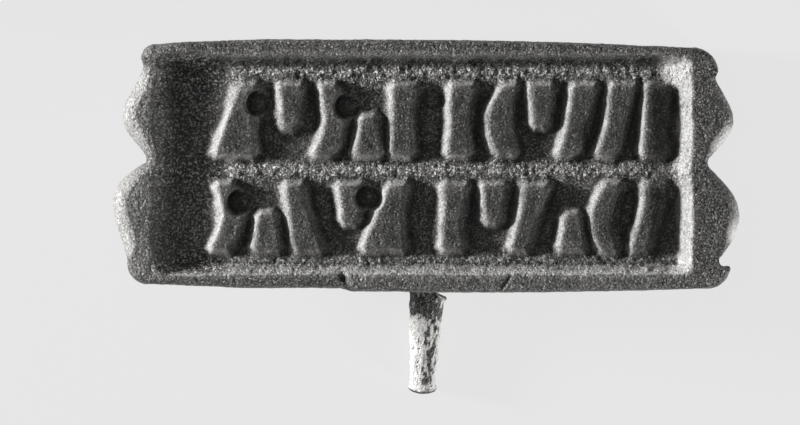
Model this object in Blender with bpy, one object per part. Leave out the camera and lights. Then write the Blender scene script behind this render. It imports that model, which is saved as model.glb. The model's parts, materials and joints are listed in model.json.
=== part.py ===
"""Cast bronze stamp seal: a scalloped oblong plate with a sunken field of raised strokes, and a shank behind it.

The seal is modelled in its plate frame: x runs along the plate, y up its face and z out of the face, which lies
at z = 0. It is then tipped on to the ground, where it rests on the top edge of its back and on its shank's foot.
Sizes are named in millimetres and turned into metres by MM.
"""

import math
from dataclasses import dataclass

import bmesh
import bpy
from mathutils import Matrix, Vector

MM = 0.001

# Plate
PLATE_THICKNESS = 6.0
BACK_ROUND = 0.4
CORNER_ROUND = 0.12
FACE_ROUND_DEPTH = 1.3
ROUND_STEPS = 3
ROUND_ONSET = 1.6

# Sunken field: its floor and how far each wall runs from the floor out to the rim
FIELD_DEPTH = 1.9
FLOOR_LEFT = -27.4
FLOOR_RIGHT = 28.2
FLOOR_TOP = 11.0
FLOOR_BOTTOM = -10.9
WALL_RUN = 1.45
LEFT_WALL_RUN = 2.7
FIELD_CORNER = 1.1

# Raised strokes
STROKE_HEIGHT = 1.5
STROKE_FLANK = 0.9
STROKE_SHOULDER = 0.3
STROKE_CORNER = 0.45
STROKE_CORNER_GROWTH = 0.586
STROKE_SIDE_STEPS = 6
UPPER_ROW = (0.2, 9.9)
LOWER_ROW = (-10.3, -1.2)

# Drilled pits beside the strokes
PIT_RADIUS = 1.35
PIT_MOUTH = 1.6
PIT_DEPTH = 2.3
PIT_SEGMENTS = 16

# Shank: its middle line is a curve from the back, through a bend, to the foot
SHANK_ROOT = Vector((0.8, -5.5, -5.0))
SHANK_BEND = Vector((0.35, -10.3, -12.2))
SHANK_END = Vector((-0.36, -24.75, -17.6))
SHANK_ROOT_RADIUS = 2.7
SHANK_END_RADIUS = 1.42
SHANK_FLARE = 0.6
SHANK_FLARE_POWER = 6
SHANK_STEPS = 12
FOOT_RADIUS = 1.58
FOOT_THICKNESS = 0.6
FOOT_SEGMENTS = 24

# Ground: how much the contact points are worn flat
WORN_FLAT = 0.15

BRONZE_COLOUR = (0.105, 0.098, 0.088, 1.0)
BRONZE_ROUGHNESS = 0.48
SHARP_ANGLE = math.radians(32)


@dataclass(frozen=True)
class Stretch:
    """One stretch of the outline, from its corner to the next stretch's corner, clockwise seen from the face.

    It rises outwards between the corners. Its front edge is rounded over the width named, and over the
    corner's own width at its start.
    """

    x: float
    y: float
    rise: float
    rounding: float
    corner: float = CORNER_ROUND
    scalloped: bool = False
    lean: float = 1.0
    fullness: float = 1.25
    steps: int = 4


OUTLINE = (
    Stretch(-30.2, 13.6, rise=0.2, rounding=0.5, corner=0.5, steps=8),
    Stretch(-12.0, 14.1, rise=0.3, rounding=0.5, corner=0.5, steps=12),
    Stretch(29.5, 13.2, rise=0.9, rounding=0.5, steps=5),
    Stretch(32.7, 10.5, rise=0.0, rounding=0.12, steps=1),
    Stretch(32.4, 9.8, rise=2.6, rounding=1.2, scalloped=True, fullness=1.3, steps=14),
    Stretch(31.2, 0.2, rise=2.85, rounding=1.2, scalloped=True, lean=1.12, fullness=0.9, steps=14),
    Stretch(33.0, -10.2, rise=-0.55, rounding=0.12, steps=6),
    Stretch(33.75, -11.25, rise=0.12, rounding=0.12, steps=2),
    Stretch(34.05, -11.65, rise=0.7, rounding=0.4, steps=6),
    Stretch(31.1, -13.75, rise=0.7, rounding=0.45, steps=16),
    Stretch(-30.9, -13.2, rise=0.85, rounding=0.7, corner=0.4, steps=5),
    Stretch(
        -33.4, -10.8, rise=2.9, rounding=1.6, corner=0.6, scalloped=True, lean=1.4, fullness=0.9, steps=16
    ),
    Stretch(-31.3, 0.3, rise=0.0, rounding=0.75, corner=0.75, steps=2),
    Stretch(
        -31.3, 1.1, rise=2.46, rounding=1.5, corner=0.75, scalloped=True, lean=0.844, fullness=1.45, steps=14
    ),
    Stretch(-31.6, 11.2, rise=0.0, rounding=1.0, corner=0.95, steps=2),
    Stretch(-31.9, 11.9, rise=0.55, rounding=0.9, corner=0.95, steps=5),
)


@dataclass(frozen=True)
class Stroke:
    """A raised stroke: how far its head leans and its middle bows, its half widths at foot and head, and how
    much its sides draw in between them. A short stroke starts above the row's bottom or ends below its top.
    """

    lean: float
    bow: float
    foot: float
    head: float
    waist: float
    start: float = 0.0
    end: float = 1.0


STAVE = Stroke(lean=0.4, bow=-0.2, foot=1.45, head=1.6, waist=0.35)
WEDGE = Stroke(lean=1.6, bow=-0.2, foot=2.5, head=1.2, waist=0.2)
SLANT = Stroke(lean=2.0, bow=0.1, foot=1.2, head=1.6, waist=0.2)
BACK_SLANT = Stroke(lean=-1.6, bow=-0.2, foot=1.8, head=1.2, waist=0.2)
BOW = Stroke(lean=0.5, bow=-1.1, foot=1.2, head=1.1, waist=-0.1)
BACK_BOW = Stroke(lean=0.5, bow=1.1, foot=1.3, head=1.1, waist=-0.1)
COMMA = Stroke(lean=0.6, bow=0.2, foot=0.7, head=1.6, waist=0.1, start=0.4)
SPUR = Stroke(lean=-0.3, bow=0.2, foot=1.7, head=0.7, waist=0.1, end=0.55)

# The strokes of each row and their places along the plate
UPPER_STROKES = (
    (WEDGE, -20.6),
    (COMMA, -15.4),
    (BACK_BOW, -11.2),
    (SPUR, -6.6),
    (STAVE, -2.5),
    (STAVE, 3.9),
    (BOW, 9.2),
    (COMMA, 12.6),
    (SLANT, 16.8),
    (SLANT, 21.2),
    (STAVE, 25.7),
)
LOWER_STROKES = (
    (BACK_BOW, -22.8),
    (SPUR, -18.0),
    (BACK_SLANT, -13.9),
    (COMMA, -8.7),
    (WEDGE, -3.9),
    (STAVE, 3.2),
    (COMMA, 7.3),
    (SLANT, 11.4),
    (SPUR, 16.2),
    (BOW, 20.7),
    (SLANT, 24.9),
)
PITS = ((-18.6, 6.9), (-8.6, 6.6), (0.8, 7.4), (-20.7, -4.1), (-6.3, -3.6))


def arc_points(start, end, rise, steps):
    """Points of the circular arc from start up to end, whose middle rises to the left of the straight line."""
    chord = end - start
    if rise == 0.0:
        return [start + chord * (i / steps) for i in range(steps)]
    left = Vector((-chord.y, chord.x)).normalized()
    half_chord = chord.length / 2
    radius = (half_chord ** 2 + rise ** 2) / (2 * rise)
    centre = (start + end) / 2 - left * (radius - rise)
    half_angle = 2 * math.atan(rise / half_chord)
    points = []
    for i in range(steps):
        angle = half_angle * (2 * i / steps - 1)
        along = chord.normalized() * (radius * math.sin(angle))
        points.append(centre + along + left * (radius * math.cos(angle)))
    return points


def scallop_points(start, end, stretch):
    """Points of a scallop, which swells like a sine raised to a power and may lean towards one end."""
    chord = end - start
    left = Vector((-chord.y, chord.x)).normalized()
    points = []
    for i in range(stretch.steps):
        share = i / stretch.steps
        swell = math.sin(math.pi * share ** stretch.lean) ** stretch.fullness
        points.append(start + chord * share + left * (stretch.rise * swell))
    return points


def rounding_width(full_width, corner_width, share):
    """The width of a rounded edge: the corner's at a stretch's ends, and soon full between them."""
    swell = min(1.0, ROUND_ONSET * math.sin(math.pi * share))
    return corner_width + (full_width - corner_width) * swell


def face_rounding(stretch, after, share):
    """How far the front edge is rounded in at a share of a stretch that another comes after."""
    corner_width = stretch.corner + (after.corner - stretch.corner) * share
    return rounding_width(stretch.rounding, corner_width, share)


def back_rounding(_stretch, _after, share):
    """How far the back edge is rounded in at a share of any stretch."""
    return rounding_width(BACK_ROUND, CORNER_ROUND, share)


def plate_outline(rounding=None, amount=1.0):
    """The plate's outline, drawn in along its normals by an amount of the rounding."""
    points = []
    insets = []
    for index, stretch in enumerate(OUTLINE):
        after = OUTLINE[(index + 1) % len(OUTLINE)]
        start = Vector((stretch.x, stretch.y))
        end = Vector((after.x, after.y))
        if stretch.scalloped:
            points += scallop_points(start, end, stretch)
        else:
            points += arc_points(start, end, stretch.rise, stretch.steps)
        for i in range(stretch.steps):
            insets.append(rounding(stretch, after, i / stretch.steps) * amount if rounding else 0.0)
    drawn_in = []
    for i, point in enumerate(points):
        along = (points[(i + 1) % len(points)] - points[i - 1]).normalized()
        drawn_in.append(point - Vector((-along.y, along.x)) * insets[i])
    return drawn_in


def rounded_rectangle(left, right, bottom, top, radius):
    """An upright rectangle with rounded corners, anticlockwise."""
    corners = ((right, bottom, -90), (right, top, 0), (left, top, 90), (left, bottom, 180))
    steps = 4
    points = []
    for x, y, first_angle in corners:
        centre = Vector((x - math.copysign(radius, x), y - math.copysign(radius, y)))
        for i in range(steps + 1):
            angle = math.radians(first_angle + 90 * i / steps)
            points.append(centre + radius * Vector((math.cos(angle), math.sin(angle))))
    return points


def loft(rings):
    """A closed mesh through outlines at given heights, each with the same number of points."""
    mesh = bmesh.new()
    layers = []
    for points, z in rings:
        layers.append([mesh.verts.new((p.x * MM, p.y * MM, z * MM)) for p in points])
    for lower, upper in zip(layers, layers[1:]):
        count = len(lower)
        for i in range(count):
            j = (i + 1) % count
            mesh.faces.new((lower[i], lower[j], upper[j], upper[i]))
    mesh.faces.new(layers[0])
    mesh.faces.new(layers[-1])
    bmesh.ops.recalc_face_normals(mesh, faces=mesh.faces)
    return mesh


def add_object(name, mesh, collection, parent):
    """Put a bmesh into a collection as an object that hangs from the plate frame."""
    data = bpy.data.meshes.new(name)
    mesh.to_mesh(data)
    mesh.free()
    data.shade_smooth()
    data.set_sharp_from_angle(angle=SHARP_ANGLE)
    piece = bpy.data.objects.new(name, data)
    collection.objects.link(piece)
    piece.parent = parent
    return piece


def mark_as_tool(piece):
    """Show an object that only cuts or joins as wires, and leave it out of renders."""
    piece.display_type = "WIRE"
    piece.hide_render = True


def combine(target, tool, operation):
    """Join a tool to the target, or cut it away, with an exact Boolean."""
    modifier = target.modifiers.new(tool.name, "BOOLEAN")
    modifier.operation = operation
    modifier.solver = "EXACT"
    modifier.object = tool
    mark_as_tool(tool)


def make_plate(collection, parent):
    """The plate: straight sides, a small round behind and a wider one before, widest at the scallops."""
    rings = [
        (plate_outline(back_rounding), -PLATE_THICKNESS),
        (plate_outline(), -PLATE_THICKNESS + BACK_ROUND),
    ]
    for i in range(ROUND_STEPS + 1):
        angle = math.pi / 2 * i / ROUND_STEPS
        z = -FACE_ROUND_DEPTH * (1 - math.sin(angle))
        rings.append((plate_outline(face_rounding, 1 - math.cos(angle)), z))
    return add_object("stamp_seal", loft(rings), collection, parent)


def make_field_cutter(collection, parent):
    """The sunken field, with sloping walls, a gentler one at the left, carried on a little above the face."""
    above = 1.0
    rings = []
    for z in (-FIELD_DEPTH, above):
        share = (z + FIELD_DEPTH) / FIELD_DEPTH
        outline = rounded_rectangle(
            FLOOR_LEFT - LEFT_WALL_RUN * share,
            FLOOR_RIGHT + WALL_RUN * share,
            FLOOR_BOTTOM - WALL_RUN * share,
            FLOOR_TOP + WALL_RUN * share,
            FIELD_CORNER,
        )
        rings.append((outline, z))
    return add_object("field_cutter", loft(rings), collection, parent)


def stroke_outline(stroke, place, row, growth):
    """A stroke's outline: both sides of its bowed middle line, joined by straight ends with cut corners."""
    bottom = row[0] + STROKE_FLANK
    length = row[1] - STROKE_FLANK - bottom
    cut = STROKE_CORNER + STROKE_CORNER_GROWTH * growth

    def side_x(t, sign, inward=0.0):
        swing = math.sin(math.pi * t)
        half = stroke.foot + (stroke.head - stroke.foot) * t - stroke.waist * swing + growth - inward
        return place + stroke.lean * (t - 0.5) + stroke.bow * swing + sign * half

    points = []
    for sign, first, last in ((1, stroke.start, stroke.end), (-1, stroke.end, stroke.start)):
        first_y = bottom + length * first - sign * growth
        last_y = bottom + length * last + sign * growth
        points.append(Vector((side_x(first, sign, cut), first_y)))
        points.append(Vector((side_x(first, sign), first_y + sign * cut)))
        for i in range(1, STROKE_SIDE_STEPS):
            t = first + (last - first) * i / STROKE_SIDE_STEPS
            points.append(Vector((side_x(t, sign), bottom + length * t)))
        points.append(Vector((side_x(last, sign), last_y - sign * cut)))
        points.append(Vector((side_x(last, sign, cut), last_y)))
    return points


def make_stroke(stroke, place, row, collection, parent):
    """One stroke, standing on the field's floor with sloping flanks and a soft shoulder."""
    sunk = 0.3
    floor = -FIELD_DEPTH
    rings = [
        (stroke_outline(stroke, place, row, STROKE_FLANK), floor - sunk),
        (stroke_outline(stroke, place, row, STROKE_FLANK), floor),
        (stroke_outline(stroke, place, row, 0.0), floor + STROKE_HEIGHT - STROKE_SHOULDER),
        (stroke_outline(stroke, place, row, -STROKE_SHOULDER), floor + STROKE_HEIGHT),
    ]
    return add_object("stroke", loft(rings), collection, parent)


def make_pit_cutter(collection, parent):
    """The drilled pits: short cones, wider at the mouth, that bite into the floor and the strokes beside them."""
    mesh = bmesh.new()
    for x, y in PITS:
        height = PIT_DEPTH + 1.0
        centre = Vector((x, y, -PIT_DEPTH + height / 2)) * MM
        bmesh.ops.create_cone(
            mesh,
            cap_ends=True,
            segments=PIT_SEGMENTS,
            radius1=PIT_RADIUS * MM,
            radius2=PIT_MOUTH * MM,
            depth=height * MM,
            matrix=Matrix.Translation(centre),
        )
    return add_object("pit_cutter", mesh, collection, parent)


def shank_point(t):
    """A point on the shank's middle line, a curve with one bend."""
    return SHANK_ROOT * (1 - t) ** 2 + SHANK_BEND * (2 * t * (1 - t)) + SHANK_END * t ** 2


def shank_radius(t):
    """The shank's radius: a taper from root to end, with a flare that soon dies away from the root."""
    taper = SHANK_ROOT_RADIUS + (SHANK_END_RADIUS - SHANK_ROOT_RADIUS) * t
    return taper + SHANK_FLARE * (1 - t) ** SHANK_FLARE_POWER


def make_shank(collection, parent):
    """The shank: a tapering tube along its middle line, as a closed mesh."""
    curve = bpy.data.curves.new("shank", "CURVE")
    curve.dimensions = "3D"
    curve.bevel_depth = MM
    curve.bevel_resolution = 3
    curve.use_fill_caps = True
    spline = curve.splines.new("POLY")
    spline.points.add(SHANK_STEPS)
    for i, point in enumerate(spline.points):
        t = i / SHANK_STEPS
        place = shank_point(t) * MM
        point.co = (place.x, place.y, place.z, 1.0)
        point.radius = shank_radius(t)
    guide = bpy.data.objects.new("shank_curve", curve)
    collection.objects.link(guide)
    evaluated = guide.evaluated_get(bpy.context.evaluated_depsgraph_get())
    mesh = bmesh.new()
    data = bpy.data.meshes.new_from_object(evaluated)
    mesh.from_mesh(data)
    bpy.data.meshes.remove(data)
    bpy.data.objects.remove(guide)
    bmesh.ops.remove_doubles(mesh, verts=mesh.verts, dist=0.001 * MM)
    bmesh.ops.recalc_face_normals(mesh, faces=mesh.faces)
    return add_object("shank", mesh, collection, parent)


def make_foot(collection, parent):
    """The small round foot across the shank's end."""
    along = (SHANK_END - SHANK_BEND).normalized()
    turn = along.to_track_quat("Z", "Y").to_matrix().to_4x4()
    centre = (SHANK_END + along * (FOOT_THICKNESS / 2)) * MM
    mesh = bmesh.new()
    bmesh.ops.create_cone(
        mesh,
        cap_ends=True,
        segments=FOOT_SEGMENTS,
        radius1=FOOT_RADIUS * MM,
        radius2=FOOT_RADIUS * MM,
        depth=FOOT_THICKNESS * MM,
        matrix=Matrix.Translation(centre) @ turn,
    )
    return add_object("foot", mesh, collection, parent)


def lowest_points():
    """The two points in the plate frame that would touch the ground: the back's top edge and the foot's rim."""
    edge = max(plate_outline(back_rounding), key=lambda p: p.y)
    along = (SHANK_END - SHANK_BEND).normalized()
    out = along.cross(Vector((1.0, 0.0, 0.0))).normalized()
    if out.z > 0:
        out = -out
    rim = SHANK_END + out * FOOT_RADIUS
    return Vector((0.0, edge.y, -PLATE_THICKNESS)), rim


def tip_on_ground(frame):
    """Turn the plate frame about X until edge and foot are level, and sink it by the worn flats."""
    edge, rim = lowest_points()
    tilt = math.atan2(edge.z - rim.z, edge.y - rim.y)
    frame.rotation_euler = (-tilt, 0.0, 0.0)
    height = (Matrix.Rotation(-tilt, 3, "X") @ edge).z
    frame.location = (0.0, 0.0, (-height - WORN_FLAT) * MM)


def make_ground_cutter(collection):
    """A block whose top is the ground, which wears the contact points flat."""
    side = 120.0
    depth = 20.0
    mesh = bmesh.new()
    bmesh.ops.create_cube(mesh, size=1.0)
    bmesh.ops.scale(mesh, vec=(side * MM, side * MM, depth * MM), verts=mesh.verts)
    bmesh.ops.translate(mesh, vec=(0.0, 0.0, -depth / 2 * MM), verts=mesh.verts)
    return add_object("ground_cutter", mesh, collection, None)


def centre_on_origin(piece, frame):
    """Shift the seal level until the middle of its box stands over the origin."""
    bpy.context.view_layer.update()
    evaluated = piece.evaluated_get(bpy.context.evaluated_depsgraph_get())
    corners = [evaluated.matrix_world @ vertex.co for vertex in evaluated.data.vertices]
    for axis in (0, 1):
        values = [corner[axis] for corner in corners]
        frame.location[axis] -= (min(values) + max(values)) / 2


def bronze():
    """Dark patinated bronze."""
    material = bpy.data.materials.new("dark_bronze")
    material.use_nodes = True
    shader = material.node_tree.nodes["Principled BSDF"]
    shader.inputs["Base Color"].default_value = BRONZE_COLOUR
    shader.inputs["Metallic"].default_value = 1.0
    shader.inputs["Roughness"].default_value = BRONZE_ROUGHNESS
    return material


def main():
    """Model the seal."""
    for old in list(bpy.data.objects):
        bpy.data.objects.remove(old)
    seal = bpy.data.collections.new("Stamp seal")
    tools = bpy.data.collections.new("Cutters")
    for collection in (seal, tools):
        bpy.context.scene.collection.children.link(collection)
    frame = bpy.data.objects.new("plate_frame", None)
    seal.objects.link(frame)

    plate = make_plate(seal, frame)
    plate.data.materials.append(bronze())
    combine(plate, make_field_cutter(tools, frame), "DIFFERENCE")
    for row, strokes in ((UPPER_ROW, UPPER_STROKES), (LOWER_ROW, LOWER_STROKES)):
        for stroke, place in strokes:
            combine(plate, make_stroke(stroke, place, row, tools, frame), "UNION")
    combine(plate, make_pit_cutter(tools, frame), "DIFFERENCE")
    combine(plate, make_shank(tools, frame), "UNION")
    combine(plate, make_foot(tools, frame), "UNION")
    tip_on_ground(frame)
    combine(plate, make_ground_cutter(tools), "DIFFERENCE")
    centre_on_origin(plate, frame)


main()
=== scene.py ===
"""The stamp seal's looks: one cast bronze piece, its finish, and the table and lights round it.

Lengths are millimetres in the plate's own frame unless a name says otherwise. In that frame x runs along the
plate, y up the face as it is looked at, z out of the face, and the rim of the face lies at z = 0.
"""
import json
import logging
import math
from collections.abc import Iterator
from dataclasses import dataclass, field
from enum import Enum
from itertools import product

import bpy
import numpy as np
from mathutils import Matrix, Vector


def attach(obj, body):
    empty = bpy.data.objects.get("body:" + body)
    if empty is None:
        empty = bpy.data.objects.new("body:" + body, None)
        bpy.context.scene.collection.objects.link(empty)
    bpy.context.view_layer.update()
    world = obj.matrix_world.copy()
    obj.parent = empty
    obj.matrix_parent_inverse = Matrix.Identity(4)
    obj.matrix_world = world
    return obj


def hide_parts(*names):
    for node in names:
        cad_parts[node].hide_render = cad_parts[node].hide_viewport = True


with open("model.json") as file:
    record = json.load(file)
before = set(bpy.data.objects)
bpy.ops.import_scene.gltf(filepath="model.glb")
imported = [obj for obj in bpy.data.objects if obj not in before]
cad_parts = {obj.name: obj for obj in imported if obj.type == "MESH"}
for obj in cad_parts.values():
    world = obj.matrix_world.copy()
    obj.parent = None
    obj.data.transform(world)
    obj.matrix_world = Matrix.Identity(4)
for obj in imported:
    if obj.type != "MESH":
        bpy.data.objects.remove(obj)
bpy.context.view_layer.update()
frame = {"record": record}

MILLIMETRE = 0.001
# Where the record's mount lies on the face.
MOUNT_ON_PLATE = (31.6, -5.5)
# The columns of a row along the outline.
PLACE, OUTWARD, ROUNDING = slice(0, 2), slice(2, 4), 4
# The least area of a grid cell that slopes are divided by.
LEAST_AREA = 1e-4
# Large odd numbers that scramble a lattice corner's three counts and the seed, and the bits that are kept.
SCRAMBLE = (73856093, 19349663, 83492791, 40503)
STIR = (2654435761, 2246822519)
KEPT_BITS = 0xFFFFFFFF
Array = np.ndarray
Spots = dict[str, Array]
Socket = bpy.types.NodeSocket
Value = float | tuple[float, ...] | Socket
log = logging.getLogger("stamp_seal")


def smooth_step(values: Array, start: float, end: float) -> Array:
    """A smooth rise from 0 to 1.

    The share t of the way from start to end, held between 0 and 1, becomes three t squared less two t cubed.

    Args:
        values: the numbers to be turned into shares.
        start: the number where the result is 0.
        end: the number where it is 1, greater or less than the start.

    Returns:
        The eased shares, one for each value.
    """
    share = np.clip((values - start) / (end - start), 0.0, 1.0)
    return share * share * (3.0 - 2.0 * share)


def lattice_noise(points: Array, cell: float, seed: int) -> Array:
    """Smooth random numbers between -1 and 1 that depend only on the place.

    Every corner of a lattice of cubes has a fixed number scrambled from its three counts. A point takes the
    eight numbers of its own cube, each weighted by the eased nearness along the three directions.

    Args:
        points: places, three numbers a row.
        cell: the side of a cube.
        seed: which set of numbers is used.

    Returns:
        One number for each place.
    """
    scaled = points / cell
    corner = np.floor(scaled)
    local = scaled - corner
    ease = local**3 * (local * (local * 6.0 - 15.0) + 10.0)
    counts = corner.astype(np.int64)
    by_x, by_y, by_z, by_seed = SCRAMBLE
    total = np.zeros(len(points))
    for step in product((0, 1), repeat=3):
        place = counts + np.array(step)
        mixed = place[:, 0] * by_x ^ place[:, 1] * by_y ^ place[:, 2] * by_z ^ seed * by_seed
        mixed = (mixed & KEPT_BITS) * STIR[0] & KEPT_BITS
        mixed = (mixed ^ (mixed >> 15)) * STIR[1] & KEPT_BITS
        number = ((mixed ^ (mixed >> 13)) & 0xFFFF) / 32767.5 - 1.0
        weight = np.prod(np.where(np.array(step) == 1, ease, 1.0 - ease), axis=1)
        total += number * weight
    return total


@dataclass(frozen=True)
class Rise:
    """A smooth rise, as smooth_step gives it, from 0 at the start to 1 at the end."""

    start: float
    end: float

    def __call__(self, values: Array) -> Array:
        """The rise at each value."""
        return smooth_step(values, self.start, self.end)


@dataclass(frozen=True)
class Bell:
    """A bell curve: the exponential of minus the distance from the middle over the reach, to the power."""

    middle: float
    reach: float
    power: int = 2

    def __call__(self, values: Array) -> Array:
        """The curve at each value."""
        return np.exp(-(((values - self.middle) / self.reach) ** self.power))


@dataclass(frozen=True)
class Table:
    """Straight lines between listed stops."""

    stops: tuple[float, ...]
    heights: tuple[float, ...]

    def __call__(self, values: Array) -> Array:
        """The lines' height at each value."""
        return np.interp(values, self.stops, self.heights)


@dataclass(frozen=True)
class Noise:
    """Lattice noise: its height, the side of its cubes and its set of numbers."""

    height: float
    cell: float
    seed: int

    def __call__(self, points: Array) -> Array:
        """The noise at each place."""
        return self.height * lattice_noise(points, self.cell, self.seed)


@dataclass(frozen=True)
class Zone:
    """A part of the surface with soft edges, and how much it counts there.

    Each pair of numbers says where the zone is 0 and where it is 1 along one coordinate. A second pair ends
    it on its other side.
    """

    amount: float = 1.0
    x: tuple[float, ...] = ()
    ragged_x: tuple[float, ...] = ()
    y: tuple[float, ...] = ()
    z: tuple[float, ...] = ()
    share: tuple[float, ...] = ()
    out_x: tuple[float, ...] = ()
    out_y: tuple[float, ...] = ()

    def at(self, spots: Spots) -> Array:
        """The amount times every rise, at spots given by their coordinates.

        Args:
            spots: one array for each coordinate that the zone may look at, under the coordinate's name.

        Returns:
            One number for each spot.
        """
        total = np.full(len(spots["x"]), self.amount)
        for name, values in spots.items():
            ends = getattr(self, name)
            for start, end in zip(ends[::2], ends[1::2]):
                total *= smooth_step(values, start, end)
        return total


@dataclass(frozen=True)
class PlateFrame:
    """Where the plate lies in the row frame: the middle of its face in metres, and its three directions."""

    middle: Array
    along: Array
    up: Array
    out: Array

    @classmethod
    def from_record(cls, record: dict) -> "PlateFrame":
        """The frame that the record's mount on the rim gives.

        Args:
            record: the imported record.

        Returns:
            The plate's frame, with the mount's own place on the face taken off.
        """
        mount = next(m for m in record["mounts"] if m["name"] == "stamping_face")
        along = np.array((1.0, 0.0, 0.0))
        out = np.array(mount["axis"])
        up = np.cross(out, along)
        mount_x, mount_y = MOUNT_ON_PLATE
        middle = np.array(mount["pos_m"]) - (along * mount_x + up * mount_y) * MILLIMETRE
        return cls(middle, along, up, out)

    def to_row(self, points: Array) -> Array:
        """Row-frame metres of places given in plate millimetres."""
        axes = np.stack((self.along, self.up, self.out))
        return self.middle + points @ axes * MILLIMETRE


class Course(Enum):
    """How the outline goes from one corner to the next."""

    ARC = "arc"
    SCALLOP = "scallop"


@dataclass(frozen=True)
class Stretch:
    """One stretch of the outline: its start, its course, how far it bulges and how rounded its edge is.

    The corner is the rounding at the stretch's start. A scallop's lean moves its swell towards one end, and
    its fullness is the power that makes it blunt or pointed.
    """

    x: float
    y: float
    rise: float
    rounding: float
    corner: float = 0.12
    course: Course = Course.ARC
    lean: float = 1.0
    fullness: float = 1.25


@dataclass(frozen=True)
class Outline:
    """The plate's outline, clockwise as the face is looked at, with two scallops at each end."""

    stretches: tuple[Stretch, ...] = (
        Stretch(-30.2, 13.6, 0.2, 0.5, 0.9),
        Stretch(-12.0, 14.1, 0.3, 0.5, 0.5),
        Stretch(29.5, 13.2, 0.9, 0.5),
        Stretch(32.7, 10.5, 0.0, 0.12),
        Stretch(32.4, 9.8, 2.6, 1.2, course=Course.SCALLOP, fullness=1.3),
        Stretch(31.2, 0.2, 2.85, 1.2, course=Course.SCALLOP, lean=1.12, fullness=0.9),
        Stretch(33.0, -10.2, -0.55, 0.12),
        Stretch(33.75, -11.25, 0.12, 0.12),
        Stretch(34.05, -11.65, 0.7, 0.4),
        Stretch(31.1, -13.75, 0.7, 0.45),
        Stretch(-30.9, -13.2, 0.85, 0.7, 0.4),
        Stretch(-33.4, -10.8, 2.9, 1.6, 0.6, Course.SCALLOP, lean=1.4, fullness=0.9),
        Stretch(-31.3, 0.3, 0.0, 0.75, 0.75),
        Stretch(-31.3, 1.1, 2.46, 1.5, 0.75, Course.SCALLOP, lean=0.844, fullness=1.45),
        Stretch(-31.6, 11.2, 0.0, 0.5, 0.7),
        Stretch(-31.9, 11.9, 0.55, 0.8, 0.3),
    )
    left_stretches: tuple[int, ...] = (10, 11, 12, 13, 14, 15)
    rounding_onset: float = 1.6
    samples: int = 240
    smoothing: int = 9
    notch_smoothing: int = 34
    notch: Bell = Bell(0.2, 1.3)
    reach_levels: int = 257
    reach_smoothing: int = 11

    def _stretch_points(self, index: int) -> Array:
        """Places and rounding along one stretch.

        An arc has the stretch's rise over its chord. A scallop leaves the chord by the rise times the sine of
        the share to the power of the fullness. The rounding goes from one corner's to the next's, and swells
        to the stretch's own between them.

        Args:
            index: which stretch.

        Returns:
            Rows of x, y and rounding, without the stretch's last point.
        """
        here = self.stretches[index]
        after = self.stretches[(index + 1) % len(self.stretches)]
        start = np.array((here.x, here.y))
        chord = np.array((after.x, after.y)) - start
        length = float(np.hypot(*chord))
        left = np.array((-chord[1], chord[0])) / length
        share = np.arange(self.samples) / self.samples
        if here.course is Course.SCALLOP:
            forward = share
            swell = here.rise * np.sin(np.pi * share**here.lean) ** here.fullness
        elif here.rise == 0.0:
            forward = share
            swell = np.zeros_like(share)
        else:
            half_angle = 2.0 * math.atan(here.rise / (length / 2.0))
            angle = half_angle * (2.0 * share - 1.0)
            forward = (np.sin(angle) / math.sin(half_angle) + 1.0) / 2.0
            swell = (np.cos(angle) - math.cos(half_angle)) / math.sin(half_angle) * length / 2.0
        onset = np.minimum(1.0, self.rounding_onset * np.sin(np.pi * share))
        at_corners = here.corner + (after.corner - here.corner) * share
        rounding = at_corners + (here.rounding - at_corners) * onset
        places = start + forward[:, None] * chord + swell[:, None] * left
        return np.column_stack((places, rounding))

    @staticmethod
    def _evened(rows: Array, reach: int) -> Array:
        """Closed rows of points, each made a bell-weighted mean of its neighbours within the reach.

        Args:
            rows: the points, one a row.
            reach: how many neighbours count on each side.

        Returns:
            As many rows, evened out.
        """
        kernel = np.hanning(2 * reach + 3)
        around = np.pad(rows, ((reach + 1, reach + 1), (0, 0)), mode="wrap")
        return np.column_stack([np.convolve(c, kernel / kernel.sum(), mode="valid") for c in around.T])

    def traced(self) -> "TracedOutline":
        """The whole outline as dense arrays, with its length, its outward directions and its rounding.

        Places and rounding are evened out along the way, which rounds the notches a little.

        Returns:
            The traced outline.
        """
        rows = np.concatenate([self._stretch_points(i) for i in range(len(self.stretches))])
        in_notch = self.notch(rows[:, 1:2])
        little, much = (self._evened(rows, reach) for reach in (self.smoothing, self.notch_smoothing))
        rows = little * (1.0 - in_notch) + much * in_notch
        places = rows[:, :2]
        steps = np.hypot(*(np.roll(places, -1, axis=0) - places).T)
        travelled = np.concatenate(((0.0,), np.cumsum(steps)))
        ahead = np.roll(places, -self.smoothing, axis=0) - np.roll(places, self.smoothing, axis=0)
        outward = np.column_stack((-ahead[:, 1], ahead[:, 0]))
        outward /= np.hypot(*outward.T)[:, None]
        columns = np.column_stack((places, outward, rows[:, 2]))
        columns = np.concatenate((columns, columns[:1]))
        starts = travelled[:: self.samples]
        return TracedOutline(travelled, columns, starts)

    def left_reach(self, y: Array) -> Array:
        """How far the plate reaches to the left of its middle at heights y, evened out a little.

        Args:
            y: places up the plate.

        Returns:
            The reach at each of them.
        """
        rows = np.concatenate([self._stretch_points(i) for i in self.left_stretches])
        rows = rows[np.argsort(rows[:, 1])]
        levels = np.linspace(rows[0, 1], rows[-1, 1], self.reach_levels)
        reach = np.interp(levels, rows[:, 1], np.abs(rows[:, 0]))
        kernel = np.hanning(self.reach_smoothing)
        kernel /= kernel.sum()
        evened = np.convolve(np.pad(reach, len(kernel) // 2, mode="edge"), kernel, mode="valid")
        return np.interp(y, levels, evened)


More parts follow.
